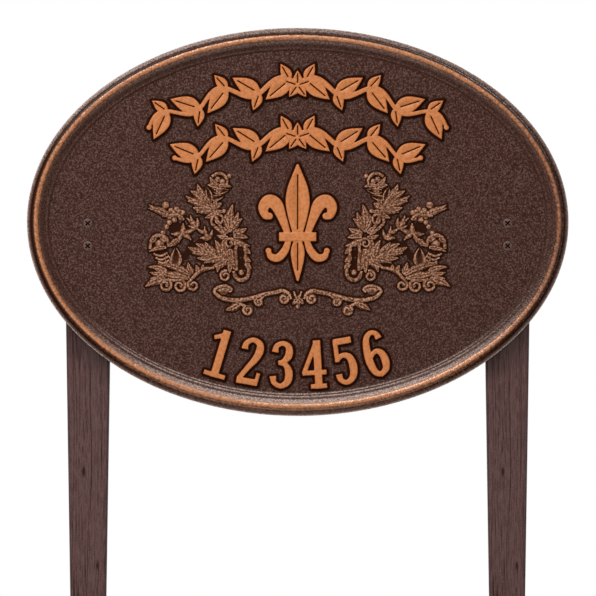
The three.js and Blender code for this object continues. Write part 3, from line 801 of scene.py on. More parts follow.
# %% Plates
FOOT = 3.6
PLINTH_TOP = 5.4
PLINTH_SINK = 0.2
WALL_RUN = 0.4
EDGE_STEPS = ((0.25, 0.35), (0.3, 0.15))
HALOS = ((1.0, 5.5), (1.9, 5.22))
VEIN_HALF = 0.6
VEIN_DEPTH = 0.9
VEIN_FROM = BOLD_TOP - 0.3
LEAST_STEP = 0.4
BOLD_VOXEL = 0.3
HALO_VOXEL = 0.28
BOLD_KEEP = 0.4
RELIEF_SMOOTH = 60


def plate(outline, steps):
    """A closed plate on an outline in millimetres. Steps are pairs of inset and rise."""
    outline = anticlockwise(outline)
    deselect()
    bpy.ops.mesh.primitive_circle_add(vertices=len(outline), radius=1, fill_type="NGON")
    made = bpy.context.object
    for vertex, (x, y) in zip(made.data.vertices, outline):
        vertex.co = (x * MM, -FOOT * MM, plaque_centre.z + y * MM)
    made.data.update()
    open_mesh(made)
    for inset, rise in steps:
        if inset:
            bpy.ops.mesh.inset(thickness=inset * MM, depth=rise * MM)
        else:
            draw_out(-rise * MM)
    close_mesh()
    return made


def spaced(outline):
    """The outline without points that crowd the one before, which would fly off when it's grown or inset."""
    kept = [outline[0]]
    for p in outline[1:]:
        if math.dist(p, kept[-1]) > LEAST_STEP and math.dist(p, kept[0]) > LEAST_STEP / 2:
            kept.append(p)
    return kept


def bold_plate(outline, top=BOLD_TOP):
    outline = spaced(anticlockwise([p[:2] for p in outline]))
    wall = PLINTH_TOP - FOOT - PLINTH_SINK
    edge_run, edge_rise = (sum(column) for column in zip(*EDGE_STEPS))
    steps = ((0, wall), (WALL_RUN, top - FOOT - wall - edge_rise), *EDGE_STEPS)
    return plate(grown(outline, WALL_RUN + edge_run), steps)


def gap_to(line, x, y):
    """Distance from a point to a straight line between two ends."""
    (ax, ay), (bx, by) = line
    dx, dy = bx - ax, by - ay
    share = min(max(((x - ax) * dx + (y - ay) * dy) / (dx * dx + dy * dy), 0), 1)
    return math.hypot(x - ax - dx * share, y - ay - dy * share)


def engrave(obj, lines):
    """Presses a groove into the top along each line."""
    for vertex in obj.data.vertices:
        if lines and vertex.co.y < -VEIN_FROM * MM:
            x, y = vertex.co.x / MM, (vertex.co.z - plaque_centre.z) / MM
            gap = min(gap_to(line, x, y) for line in lines) / VEIN_HALF
            vertex.co.y += VEIN_DEPTH * max(1 - gap * gap, 0) * MM


def one_skin(parts, voxel, keep, veins=()):
    """Joins the parts, runs them together, engraves the veins and thins the skin to a share of its faces."""
    whole = join(parts)
    add_and_apply(whole, "REMESH", mode="VOXEL", voxel_size=voxel * MM)
    engrave(whole, veins)
    add_and_apply(whole, "DECIMATE", ratio=keep)
    return whole


bold_copper = bold_finish("bold_copper", copper_from=6.75, dark_from=5.05)
print("finish:", bold_copper.name)


def halo(skin, reach, top):
    """A copy of the skin, swollen sideways and pressed flat, which holds dark paint and painted shade at its
    foot.
    """
    swollen = copy_of(skin)
    add_and_apply(swollen, "DISPLACE", strength=reach * MM, mid_level=0)
    for vertex in swollen.data.vertices:
        vertex.co.y = min(max(vertex.co.y, -top * MM), -FOOT * MM)
    return swollen


def bold_piece(name, plates, veins=()):
    skin = join(plates)
    add_and_apply(skin, "REMESH", mode="VOXEL", voxel_size=BOLD_VOXEL * MM)
    halos = [halo(skin, reach, top) for reach, top in HALOS]
    whole = one_skin([skin] + halos, HALO_VOXEL, BOLD_KEEP, veins)
    return finish_piece(whole, name, "plaque_casting", "plaque_paint", bold_copper, RELIEF_SMOOTH)


# %% [markdown]
# ## Arched vines
#
# Two vines arch over the middle. Each runs out from a small rosette at the crown, waves from side to side,
# and carries a leaf in every hollow and a bud on every crest. A vein is engraved along each leaf.

# %% Vines
VINE_WAVE = 44
VINE_SWING = 5.5
VINE_STEM = 1.4
VINE_THINNING = 0.5
VINE_TIP = 1.3
VINE_POINTS = 6
VEIN_ENDS = (0.2, 0.84)
PETALS = 5
VINE_LEAF = (21, 10.5)
VINE_BUD = (12, 6.5)
VINE_PETAL = (9.5, 5.4)
LEAF_TURN = 38
BUD_TURN = 62
VINES = {"upper_vine": (96.0, 198, 5), "lower_vine": (59.5, 262, 4)}


def vein_of(size):
    return [(size[0] * share, 0) for share in VEIN_ENDS]


def vine_outlines(crown, radius, half_waves):
    """Outlines of the stems, leaves and petals of a vine, and the lines of their veins."""
    def at(run, offset):
        angle = run / radius
        return (radius + offset) * math.sin(angle), crown - radius + (radius + offset) * math.cos(angle)

    def swing(run):
        return VINE_SWING * math.sin(2 * math.pi * run / VINE_WAVE)

    half_wave = VINE_WAVE / 2
    reach = half_waves * half_wave
    count = half_waves * VINE_POINTS
    runs = [reach * i / count for i in range(count + 1)]
    stem = [(*at(run, swing(run)), VINE_STEM * (1 - VINE_THINNING * run / reach)) for run in runs]
    right, leaves = [ribbon(stem, 2 * count), disc(stem[-1], VINE_TIP)], []
    for i in range(half_waves):
        side = -1 if i % 2 else 1
        run = (i + 0.25) * half_wave
        level = -math.degrees(run / radius)
        stalk = at(run, swing(run))
        leaves.append((VINE_LEAF, stalk, level - side * LEAF_TURN))
        leaves.append((VINE_BUD, stalk, level + side * BUD_TURN))
    petals = [(VINE_PETAL, (0, crown), 90 + 360 / PETALS * i) for i in range(PETALS)]
    right += [placed(leaf(*size), stalk, turn) for size, stalk, turn in leaves]
    veins = [placed(vein_of(size), stalk, turn) for size, stalk, turn in leaves]
    veins += [mirrored(vein) for vein in veins]
    veins += [placed(vein_of(size), stalk, turn) for size, stalk, turn in petals]
    whole = right + [mirrored(outline) for outline in right]
    return whole + [placed(leaf(*size), stalk, turn) for size, stalk, turn in petals], veins


for name, (crown, radius, half_waves) in VINES.items():
    outlines, veins = vine_outlines(crown, radius, half_waves)
    bold_piece(name, [bold_plate(outline) for outline in outlines], veins)

# %% [markdown]
# ## Lily
#
# The lily in the middle is the usual heraldic one: an upright petal, two curled side petals that end in
# balls, three tails, and a band that stands a little higher than the rest. A ribbon folds over itself in a
# tight hook, so the curled petals and tails are chains of discs instead.

# %% Lily
LILY_SIDE_PETAL = [(7.4, -7, 1.8), (11, 3, 2.7), (15, 12, 4), (20.2, 14.6, 4), (24, 10.4, 3.2),
                   (22.8, 4.8, 2.2), (19.8, 3.6, 1.4)]
LILY_SIDE_TAIL = [(6.6, -14, 1.6), (9.2, -20.5, 2.2), (13.8, -25.2, 2.3), (18.8, -24.4, 1.8),
                  (20.4, -20.6, 1.1)]
LILY_MIDDLE = [(0, 40, 0.3), (0, 33, 3.2), (0, 24, 6.6), (0, 14, 8), (0, 4, 6.4), (0, -7, 3.4)]
LILY_TAIL = [(0, -14, 2.6), (0, -21, 4.4), (0, -30, 3.2), (0, -41, 0.3)]
LILY_BAND = [(-12.5, -10.5, 2.5), (12.5, -10.5, 2.5)]
LILY_BAND_TOP = 7.9
LILY_BALLS = [(19.8, 4.0, 1.9), (20.5, -20.4, 1.6)]
LILY_VEINS = ([(0, -5), (0, 33)], [(0, -15), (0, -34)])


def lily_outlines():
    hooks = smooth_line(LILY_SIDE_PETAL, 56) + smooth_line(LILY_SIDE_TAIL, 40) + LILY_BALLS
    sides = [disc((x, y), radius) for x, y, radius in hooks]
    return sides + [mirrored(outline) for outline in sides] + [ribbon(LILY_MIDDLE, 36), ribbon(LILY_TAIL, 24)]


lily_plates = [bold_plate(outline) for outline in lily_outlines()]
bold_piece("lily", lily_plates + [bold_plate(ribbon(LILY_BAND, 2), LILY_BAND_TOP)], LILY_VEINS)

# %% [markdown]
# ## Numerals
#
# A row of plain numerals follows the lower rim. Each is a few strokes, thick where a broad pen would be
# thick, with slab feet. A stroke is a line of points with half-widths, in a box centred on the origin.

# %% Numerals
NUMBER_RADIUS = 190
NUMBER_MIDDLE = -100.7
NUMBER_STEP = 6.7
PEN = 0.82
NUMERALS = [
    [[(0.6, -16.5, 2.7), (0.6, 16.5, 2.7)], [(-6.6, -15.2, 1.3), (7.8, -15.2, 1.3)],
     [(-6.6, 10.2, 1.1), (-2, 12.6, 1.3), (0.6, 15.2, 1.4)]],
    [[(-5.4, 8.2, 2.2), (-4.8, 12, 1.7), (-0.5, 15, 1.5), (4.4, 12.8, 2.2), (5.2, 8, 2.8), (3.2, 2, 2.3),
      (-1.5, -5.5, 1.6), (-5.8, -13, 1.5)], [(-7, -14.4, 2.1), (7, -14.4, 2.1)], [(6.4, -14, 1), (7, -8, 1)]],
    [[(-5.2, 9, 2.2), (-4.2, 13, 1.6), (0.2, 15, 1.5), (4.2, 12.4, 2.2), (4.4, 6.6, 2.6), (1, 2.2, 1.6),
      (-2.2, 1.2, 1.3)],
     [(-1.6, 1.2, 1.3), (2.6, 0, 1.6), (5.2, -5.2, 2.7), (4.6, -11.6, 2.4), (0.2, -15, 1.5), (-4.6, -13, 1.6),
      (-5.8, -8.8, 2.2)]],
    [[(3, -16.5, 2.6), (3, 16.5, 2.6)], [(-7.6, -5.6, 1.4), (8.4, -5.6, 1.4)],
     [(2.2, 14.8, 1.3), (-7, -5.6, 1.3)], [(-2.2, -15.2, 1.3), (8.2, -15.2, 1.3)]],
    [[(-4.6, 15, 1.4), (-5.2, 0.6, 1.4)], [(-5.2, 14.2, 2.1), (6.2, 14.2, 2.1)],
     [(-5.4, 1.4, 1.3), (-1, 4.2, 1.5), (3.6, 2.2, 2.2), (5.2, -4.6, 2.8), (3.8, -11.6, 2.3),
      (-0.8, -15, 1.5), (-5, -12.6, 1.7), (-5.6, -9, 2.2)]],
    [[(5, 10.2, 2.2), (4, 13.6, 1.6), (0.4, 15, 1.5), (-3.6, 11.4, 2), (-5.4, 2.5, 2.6), (-5.4, -6, 2.7),
      (-3.6, -12.6, 2.1), (0.2, -15, 1.5)],
     [(-0.2, -15, 1.5), (4, -12, 2.2), (5.2, -6, 2.7), (3.8, -0.4, 2.1), (0.2, 1.6, 1.4), (-4.6, -1.8, 1.3)]],
]


def numeral_outlines():
    outlines = []
    for i, strokes in enumerate(NUMERALS):
        turn = (i - (len(NUMERALS) - 1) / 2) * NUMBER_STEP
        angle = math.radians(turn)
        middle = (NUMBER_RADIUS * math.sin(angle), NUMBER_MIDDLE + NUMBER_RADIUS * (1 - math.cos(angle)))
        for stroke in strokes:
            line = [(x, y, half * PEN) for x, y, half in stroke]
            outlines.append(placed(ribbon(line, 36), middle, turn))
    return outlines


bold_piece("numerals", [bold_plate(outline) for outline in numeral_outlines()])

# %% [markdown]
# ## Fine relief
#
# The sprays and the scroll are modelled in the round and wiped, so that dark paint stays in the hollows and
# bare metal shows on the ridges. A blade is a grid laid along a line: its edges follow a width, and its
# face is raised by a formula. Stems are round blades, and leaf lobes are pointed blades with a sunk vein
# and faint ribs. A flat skirt around each blade holds the dark paint at its foot, which is also painted
# shade.

# %% Blades
SKIRT = 1.15
SKIRT_TOP = 5.3
BLADE_DEPTH = 2.2
STEM_FOOT = 5.4
STEM_TOP = 7.3


def blade(points, rows, columns, height):
    """A closed strip along points of x, y and half-width. height(along, across) is its face's, in mm."""
    line = smooth_line(points, rows + 1)
    sides = across_of(line)
    made = new_grid(rows, columns)
    for vertex in made.data.vertices:
        i = round((vertex.co.x + 1) / 2 * rows)
        across = vertex.co.y
        x, y, half = line[i]
        x += sides[i].x * across * half
        y += sides[i].y * across * half
        vertex.co = (x * MM, -height(i / rows, across) * MM, plaque_centre.z + y * MM)
    made.data.update()
    open_mesh(made)
    draw_out(BLADE_DEPTH * MM)
    close_mesh()
    return made


def stretched(points, amount):
    """The points with both ends moved outwards and every half-width grown."""
    line = [(x, y, half + amount) for x, y, half in points]
    for end, inner in ((0, 1), (-1, -2)):
        away = Vector(line[end][:2]) - Vector(line[inner][:2])
        away = away.normalized() * amount
        line[end] = (line[end][0] + away.x, line[end][1] + away.y, line[end][2])
    return line


def skirted(points, rows, columns, height):
    skirt = blade(stretched(points, SKIRT), rows, columns=2, height=lambda along, across: SKIRT_TOP)
    return [blade(points, rows, columns, height), skirt]


def stem(points, rows, high=STEM_TOP):
    def face(along, across):
        return mixed(STEM_FOOT, high, math.sqrt(max(1 - across ** 2, 0)))

    return skirted(points, rows, columns=8, height=face)


RIB_PITCH = 2.6
RIB_RISE = 0.1
FLUTE_RISE = 0.17
RIB_SLANT = 0.9
PLAIN_BELOW = 1.7
PLAIN_BOW = 1.2
LOBE_TOP = 7.2
LOBE_SAG = 0.06
LOBE_FALL = 0.5
LOBE_CROWN = 1.3
SUNK_VEIN = 0.65
SUNK_VEIN_HALF = 0.15
HOLLOW_DEPTH = 1.45
HOLLOW_EDGE = 0.74
HOLLOW_EDGE_HALF = 0.24
LOBE_WIDTHS = [0.5, 0.85, 1.0, 0.95, 0.78, 0.5, 0.1]


def lobe_line(start, tip, half, bow):
    """Points of a pointed lobe that sags sideways by a share of its length."""
    along = Vector(tip) - Vector(start)
    side = Vector((-along.y, along.x)) * bow
    points = []
    for i, width in enumerate(LOBE_WIDTHS):
        t = i / (len(LOBE_WIDTHS) - 1)
        place = Vector(start) + along * t + side * math.sin(math.pi * t)
        points.append((place.x, place.y, half * width))
    return points


def lobe(start, tip, half, bow=LOBE_SAG, hollow=False, top=LOBE_TOP):
    """A fluted leaf lobe with a vein and faint ribs, or a raised edge around a hollow, or a plain ridge."""
    ribs = math.dist(start, tip) / RIB_PITCH

    def face(along, across):
        fall = LOBE_FALL * along ** 2
        if hollow:
            edge = math.exp(-((abs(across) - HOLLOW_EDGE) / HOLLOW_EDGE_HALF) ** 2)
            return top - fall - HOLLOW_DEPTH * (1 - edge)
        if half < PLAIN_BELOW:
            return top - fall - PLAIN_BOW * across ** 2
        vein = SUNK_VEIN * math.exp(-(across / SUNK_VEIN_HALF) ** 2)
        rib = RIB_RISE * math.cos(2 * math.pi * (ribs * along - RIB_SLANT * abs(across)))
        flute = FLUTE_RISE * math.cos(4 * math.pi * across)
        return top - fall - LOBE_CROWN * across ** 2 - vein + rib + flute

    return skirted(lobe_line(start, tip, half, bow), rows=30, columns=14, height=face)


CURL_THINNING = 0.75
CURL_HEART = 1.45
CURL_POINTS = 14
BERRY_TOP = 7.0


def curl(centre, radius, end_radius, start, sweep, half, lead=()):
    """A stem that rolls up, with a small ball at its heart."""
    points = list(lead) + spiral(
        centre, radius, end_radius, start, sweep, half, half * CURL_THINNING, CURL_POINTS)
    heart = points[-1]
    return stem(points, 8 * len(points)) + [berry(heart[:2], half * CURL_HEART)]


def berry(at, radius):
    """A ball that is cut off flat inside the panel."""
    deselect()
    place = (at[0] * MM, -(BERRY_TOP - radius) * MM, plaque_centre.z + at[1] * MM)
    bpy.ops.mesh.primitive_uv_sphere_add(segments=20, ring_count=12, radius=radius * MM, location=place)
    made = bpy.context.object
    settle()
    for vertex in made.data.vertices:
        vertex.co.y = min(vertex.co.y, -FOOT * MM)
    return made


# %% Wiped finish
WIPED_PIT = (0.024, 0.007, 0.003, 1)
WIPED_BROWN = (0.125, 0.041, 0.016, 1)
WIPED_TAN = (0.465, 0.234, 0.137, 1)
WIPED_PEBBLE = 0.8 * MM
WIPED_RAGGED = 0.65
WIPED_BLOTCHES = (600.0, 4.0)
WIPED_SIDES = (5.5, 6.2)
BARE_RUN = 0.22
BARE_RISE = 0.7
WIPED_GLOSS = 0.3


def wiped_finish(name, bare_from, bare_above):
    """Bare metal on ridges above a height, brown paint below, dark paint in grooves, and painted shade with
    it at the feet.
    """
    material, tree, place = new_finish(name)
    height = height_of(tree, place)
    worn = put(tree, "ShaderNodeVertexColor", layer_name="wiped").outputs["Color"]
    skin = pebbles(tree, place, WIPED_PEBBLE)
    ridge = maths(tree, "ADD", worn, ragged(tree, speckle(tree, place, *WIPED_BLOTCHES), WIPED_RAGGED))
    groove = between(tree, ridge, low=0.2, high=1.0, start=0.28, end=0.5)
    depth = maths(tree, "MULTIPLY", ramp(tree, height, *WIPED_SIDES), groove)
    # dark paint in the grooves, and at the feet of the relief dark paint that is also painted shade
    brown = blend_colours(tree, depth, WIPED_PIT, WIPED_BROWN)
    bare = ramp(tree, ridge, bare_from, bare_from + BARE_RUN)
    bare = maths(tree, "MULTIPLY", bare, ramp(tree, height, bare_above, bare_above + BARE_RISE))
    colour = blend_colours(tree, bare, brown, WIPED_TAN)
    gloss = between(tree, depth, CREVICE_GLOSS, WIPED_GLOSS)
    lacquered(tree, colour, gloss, roughness=0.32, bump_height=skin, bump=0.4, depth=0.25 * MM)
    return material


wiped_leaves = wiped_finish("wiped_leaves", bare_from=0.46, bare_above=5.9)
wiped_stems = wiped_finish("wiped_stems", bare_from=0.38, bare_above=6.2)
print("finishes:", wiped_leaves.name, wiped_stems.name)


def wipe(obj):
    """Marks the ridges light and the hollows dark in a colour attribute."""
    make_active(obj)
    obj.data.color_attributes.new("wiped", "BYTE_COLOR", "CORNER")
    obj.data.color_attributes.active_color = obj.data.color_attributes["wiped"]
    bpy.ops.paint.vertex_color_dirt(blur_strength=0.6, blur_iterations=1, clean_angle=math.radians(115),
                                    dirt_angle=math.radians(65), normalize=True)


GRAIN_PITCH = 1.15 * MM
GRAIN_RISE = 0.2 * MM
FINE_VOXEL = 0.26
FINE_KEEP = 0.45


def fine_piece(name, parts, material):
    skin = one_skin(parts, FINE_VOXEL, FINE_KEEP)
    normals = [vertex.normal.copy() for vertex in skin.data.vertices]
    for vertex, normal in zip(skin.data.vertices, normals):
        vertex.co += normal * GRAIN_RISE * noise.noise(vertex.co / GRAIN_PITCH)
    wipe(skin)
    return finish_piece(skin, name, "plaque_casting", "plaque_paint", material, RELIEF_SMOOTH)


# %% [markdown]
# ## Leafy sprays
#
# A spray of acanthus stands on each side of the lily: a fan above, a tall leaf and a slotted loop towards
# the middle, a broad leaf with a star flower beside it, grapes under a round knob, a shell, and a feathered
# leaf along the foot. The right one is modelled, and the left one is its mirror image. A lobe is written as
# its start, its tip and half its width.

# %% Sprays
STAR = (81.4, -8)
STAR_HALF = 1.69
STAR_TIPS = [(80.5, -0.9), (89, -8.4), (83.6, -14.7), (74.7, -12.9), (71.6, -4.4)]
LOBES = [
    # crown above the fan
    (56.5, 25, 61.6, 31.6, 2.0), (57, 24.5, 63.2, 25.8, 2.0), (55.5, 25.4, 46.8, 24.6, 1.9),
    (56, 20, 56, 27, 2.6),
    # fan
    (63, 13.5, 70.4, 26.4, 3.2), (63.5, 12.5, 75.4, 21.8, 2.8), (63.5, 11.5, 78.6, 18.2, 2.7),
    (62.5, 10.5, 77.2, 14.6, 2.8), (60.5, 9, 73.4, 10, 3.1), (59.5, 8, 71, 6.6, 2.5),
    (57.5, 7, 65, 2.8, 2.5), (59.5, 10, 53.5, 13.4, 2.4), (58.5, 12, 56, 16, 1.9), (57.5, 7, 51.5, 7.8, 1.8),
    # tall leaf
    (47.5, -4, 45.6, 12.2, 2.9), (46.5, -3, 41.8, 7, 2.2), (46, -5, 39, 2.2, 2.4),
    (45.4, -8, 36, -4.6, 2.5), (45, -10.5, 35, -11.2, 2.4), (44, -13, 33.6, -17, 2.2),
    (48, -5, 51, 5.2, 2.1), (49, -8, 54.6, -3.8, 2.1), (49, -11, 57, -9.4, 2.1), (48, -7, 46.6, 1, 2.2),
    # scalloped edge beside the slot
    (38, -19, 33.2, -22.6, 2), (37.4, -24.4, 32.9, -28, 2), (37, -29.6, 32.8, -33, 1.9),
    # body beside the loop
    (47.5, -19, 43.4, -34.5, 3.4), (49, -20, 48, -36, 3.4), (51, -22, 56.4, -35.5, 3),
    # broad leaf
    (50, -24, 52, -11.5, 2.7), (54, -24, 58, -13, 2.8), (58, -23, 65, -14.2, 2.8),
    (62, -22, 71.5, -15.4, 2.7), (61, -21.8, 77, -17.8, 2.9), (61, -23, 74, -22.2, 2.6),
    (57, -24, 70.6, -25.4, 2.7), (53, -25.5, 66, -29, 2.8), (50, -26.5, 60, -31.5, 2.7),
    # forked sprigs
    (62.6, -12.4, 60, -5.4, 1.4), (62.6, -12.4, 65.4, -3, 1.5), (62.6, -12.4, 68.6, -11.4, 1.4),
    (65, -7.5, 71, -4.6, 1.4), (71, -4.4, 70.6, 2.8, 1.5), (71.5, -3.5, 75.3, 4.6, 1.5),
    (72, -4.4, 78.4, 3, 1.5), (70.5, -4.6, 77, -2.6, 1.4),
    # star flower
    *[(*STAR, *tip, STAR_HALF) for tip in STAR_TIPS],
    (84.5, -12, 91.6, -17.4, 2.0),
    # leaf beside the grapes
    (91.4, 5, 105, 9.6, 2.4), (97.5, 8.8, 104.6, 12.2, 1.1),
    # shell
    (92.4, -18, 104.4, -21, 1.8), (92, -13, 97, -10.6, 1.8), (99.6, -11.4, 103, -15.4, 1.8),
    # feathered leaf
    (66, -34, 66.5, -29.8, 1.7), (70, -36, 71.5, -30.4, 1.9), (74, -36.5, 77, -28.6, 2.3),
    (75, -37.4, 98.2, -29.4, 2.5), (79, -38.5, 100.5, -33, 2.4), (92, -34.5, 105.4, -31.8, 2),
    (93.5, -36.4, 104, -35.4, 1.9), (77, -40, 95, -37, 2.3), (94, -38, 103.6, -39.6, 2),
    (93, -40, 107, -45.4, 2.8),
]
HOLLOW_LOBES = [
    (59, 21.6, 48.6, 22.6, 2.4), (61, 16.6, 52, 18.4, 2.3), (61.6, 14, 64.4, 24.2, 2.5),
    (86.9, -31.6, 85.8, -18.4, 4.5), (91.2, -29.5, 92.6, -22, 2.2),
]
CURLS = [
    # centre, radius, end radius, start and sweep in degrees, half-width, points that lead in
    ((55.8, 1.3), 5, 1.5, -40, 420, 1.2, [(50.5, -9, 1.5), (55, -6, 1.4)]),
    ((47.7, -15.1), 3.9, 1.4, 200, -420, 1.2, []),
    ((50.8, -38), 3.8, 1.4, 110, -430, 1.2, []),
    ((73.3, -44.6), 4, 1.4, 60, -400, 1.2, [(58.8, -32.2, 1.0), (65, -33.2, 1.4), (70.5, -36, 1.5)]),
    ((83, -45), 4.6, 1.5, 100, 430, 1.3, []),
    ((93, -44.4), 4.6, 1.5, 110, 430, 1.3, []),
]
STEMS = [
    [(42, -15, 1.2), (38.4, -15.4, 1.3), (36.8, -19, 1.3), (36.4, -26, 1.3), (35.6, -32, 1.2)],
    [(35.8, -30, 1.2), (34.4, -34, 1.4), (35.4, -38.8, 1.5), (39.4, -41, 1.6), (43.4, -39, 1.5),
     (45, -34.6, 1.3)],
    [(42.6, -15, 1.3), (43.6, -20, 1.3), (43, -28, 1.3), (43, -34, 1.3)],
    [(49.6, 25.6, 1), (49.8, 30, 1.2), (52.6, 33.4, 1.3), (56.6, 33.8, 1.3), (60.2, 31.8, 1)],
    [(91.4, -21.8, 0.9), (96.6, -24, 1), (101.2, -22.4, 0.8)],
    [(90.6, -24.4, 0.9), (95.6, -26.6, 1), (99.8, -25.2, 0.8)],
    [(90.4, -27, 0.9), (94.4, -29, 1), (98, -27.8, 0.8)],
    [(52, -8, 1.5), (57, 2.5, 1.4), (60, 10, 1.6), (63, 16, 1.2)],
    [(90.6, -16.6, 1.2), (92.6, -11.4, 1.5), (97.8, -9.4, 1.6), (102.4, -12.4, 1.5), (103.6, -19, 1.2)],
    [(80, 1.5, 1), (84, 5, 1.2), (91, 4.4, 1.3), (95, 4.6, 1.2)],
    [(76, -39, 1.3), (84, -41, 1.3), (96, -40.6, 1.2)],
]
BERRIES = [
    (80.8, 6.4, 2.4), (85, 9, 2.3), (89, 8, 2.3), (85.4, 5, 2.4), (82, 2.6, 2.2), (86.6, 1.4, 2.3),
    (90, 3.6, 2.2), (90.2, -0.4, 2.1), (92, -3.4, 1.9), (92.8, 11.8, 3.7), (94.7, -7.8, 2),
    (48.1, 32.3, 1.8), (39.6, -35.6, 2.4), (97, -15.6, 5), (53, 28.4, 2.3), (56.2, 29.8, 2.4),
    (51.8, 7.6, 1.7), (*STAR, 2.2), (83.4, 7.4, 1.7), (87.2, 6.6, 1.8), (83.6, 4.4, 1.7), (88.2, 4.2, 1.6),
    (91.6, 6.2, 1.6),
]
HOLLOWS = [
    # dark ground between the leaves that the wipe didn't reach, which is also painted shade
    (85.4, -2.8, 3.4), (88.6, -4.8, 2.6), (76.4, -20.6, 2.8), (79.4, -24, 2.8), (40, -22, 2.4),
    (40, -28, 2.4), (40, -33, 2.4), (50, 6, 2.2), (68.6, -14.2, 2.6), (74.6, -15.4, 2.2), (58.4, -6, 2.4),
]
LOBE_BOW = 0.07
LOBE_STAGGER = 0.12


def spray_parts():
    parts = [plate(disc((x, y), radius), ((0, SKIRT_TOP - FOOT),)) for x, y, radius in HOLLOWS]
    for i, (x, y, tip_x, tip_y, half) in enumerate(LOBES):
        bow = LOBE_BOW if i % 2 else -LOBE_BOW
        parts += lobe((x, y), (tip_x, tip_y), half, bow=bow, top=LOBE_TOP + LOBE_STAGGER * (i % 3))
    for x, y, tip_x, tip_y, half in HOLLOW_LOBES:
        parts += lobe((x, y), (tip_x, tip_y), half, hollow=True)
    for centre, radius, end_radius, start, sweep, half, lead in CURLS:
        parts += curl(centre, radius, end_radius, start, sweep, half, lead)
    for line in STEMS:
        parts += stem(line, 10 * len(line))
    return parts + [berry((x, y), radius) for x, y, radius in BERRIES]


right_spray = fine_piece("right_spray", spray_parts(), wiped_leaves)
left_spray = copy_of(right_spray)
bpy.ops.object.mode_set(mode="EDIT")
bpy.ops.mesh.select_all(action="SELECT")
bpy.ops.transform.resize(value=(-1, 1, 1), center_override=(0, 0, 0))
close_mesh()
left_spray.name = "left_spray"
left_spray.data.name = "left_spray"
print("made left_spray with", len(left_spray.data.polygons), "faces")

# %% [markdown]
# ## Scroll
#
# The scroll under the lily is a long S on each side, which ends in a flat volute around an oval. Curls and
# leaves hang below it, and a bud in the middle.

# %% Scroll
SCROLL_LINE = [
    (4.6, -54.2, 1.1), (6.4, -50.4, 1.4), (10.5, -48.4, 1.55), (14.3, -49.2, 1.65), (23, -50.9, 1.7),
    (32.4, -53.6, 1.75), (43, -55.1, 1.75), (52.4, -53.8, 1.65), (57.1, -50.9, 1.5), (58.4, -48.2, 1.3),
    (55.1, -45.5, 1.2), (49.8, -45.1, 1.2), (46.4, -47.4, 1.1), (48, -49.4, 0.9),
]
SCROLL_CURLS = [
    spiral((9.8, -54), 3.3, 1.3, 150, 400, 1.2, 1.0, 10),
    spiral((35, -62.2), 3.4, 1.3, 60, -400, 1.25, 1.0, 10),
    spiral((27.4, -56.2), 2.9, 1.2, 60, -380, 1.15, 0.9, 9),
]
SCROLL_STALKS = [
    [(44, -55.4, 1.2), (39.8, -57.8, 1.3), (36.6, -59.4, 1.2)],
    [(0, -55, 1.0), (1.8, -51.4, 0.9), (2.6, -48.8, 0.6)],
    [(23, -51.4, 1.1), (25.4, -53.6, 1.2), (26.6, -55, 1.1)],
]
SCROLL_DISCS = [(9.8, -54, 3.6), (35, -62.2, 3.7), (27.4, -56.2, 3.2), (52, -47.7, 3.6)]
SCROLL_DISC_TOP = 6.15
SCROLL_BUD = ((0, -52), (0, -60), 2.4)
SCROLL_BUD_BALL = ((0, -59.6), 1.9)
SCROLL_BALL = 1.8
SCROLL_OVAL_TOP = 6.9
SCROLL_OVAL = [(46.9, -47.9, 0.8), (49, -47.8, 1.8), (52, -47.7, 2.1), (55, -47.7, 1.7), (56.6, -47.6, 0.7)]
SCROLL_LOBES = [
    ((40.4, -57.2), (50.8, -62), 2.7), ((0.6, -54), (3.8, -58), 2.0), ((31, -54), (24.6, -58.6), 2.0),
]


def scroll_parts():
    parts = lobe(*SCROLL_BUD) + [berry(*SCROLL_BUD_BALL)]
    for flip in (lambda line: line, mirrored):
        parts += stem(flip(SCROLL_LINE), rows=150)
        parts += stem(flip(SCROLL_OVAL), rows=30, high=SCROLL_OVAL_TOP)
        for x, y, radius in SCROLL_DISCS:
            parts.append(plate(flip(disc((x, y), radius)), ((0, SCROLL_DISC_TOP - FOOT),)))
        for line in SCROLL_CURLS:
            parts += stem(flip(line), rows=50) + [berry(flip(line)[-1], SCROLL_BALL)]
        for line in SCROLL_STALKS:
            parts += stem(flip(line), rows=16)
        for start, tip, half in SCROLL_LOBES:
            parts += lobe(*flip([start, tip]), half)
    return parts


fine_piece("scroll", scroll_parts(), wiped_stems)

# %% [markdown]
# ## Stakes
#
# The stakes are one casting used twice. Each tapers a little, is rounded along its front edges, and runs to
# a blunt point that is pushed into the lawn. A wood grain is cast into the front: long grooves that part
# around a few knots. A fine grid is shaped to the front by formula, given its thickness, and its back is
# laid flat.

# %% Stake grain
KNOT_REACH = (5, 30)
KNOT_HEART = (1.3, 3.4)
KNOT_PUSH = 2.8
KNOT_TURN = 1.4
HEART_DEPTH = 0.4
SWAY = 2.2
SKIN_RISE = 0.06
COARSE_DEPTH, COARSE_HALF = 0.24, 0.06
FINE_DEPTH, FINE_HALF = 0.10, 0.13
# A grain is its waves per millimetre across and along the stake, and the slice of noise that it is read from.
SWAY_GRAIN = (0.04, 0.011, 3.1)
COARSE_GRAIN = (0.42, 0.005, 11.0)
FINE_GRAIN = (1.15, 0.018, 23.0)
SKIN_GRAIN = (0.8, 0.3, 31.0)
KNOTS = [(-3, 88, 1.0), (6.5, 22, 0.8), (-6, 196, 0.9), (4, -62, 0.8), (-2, -120, 0.6)]


def hill(u, v, reach, size):
    return math.exp(-(u / (reach[0] * size)) ** 2 - (v / (reach[1] * size)) ** 2)


def read_grain(u, v, grain):
    across, along, at = grain
    return noise.noise(Vector((u * across, v * along, at)))


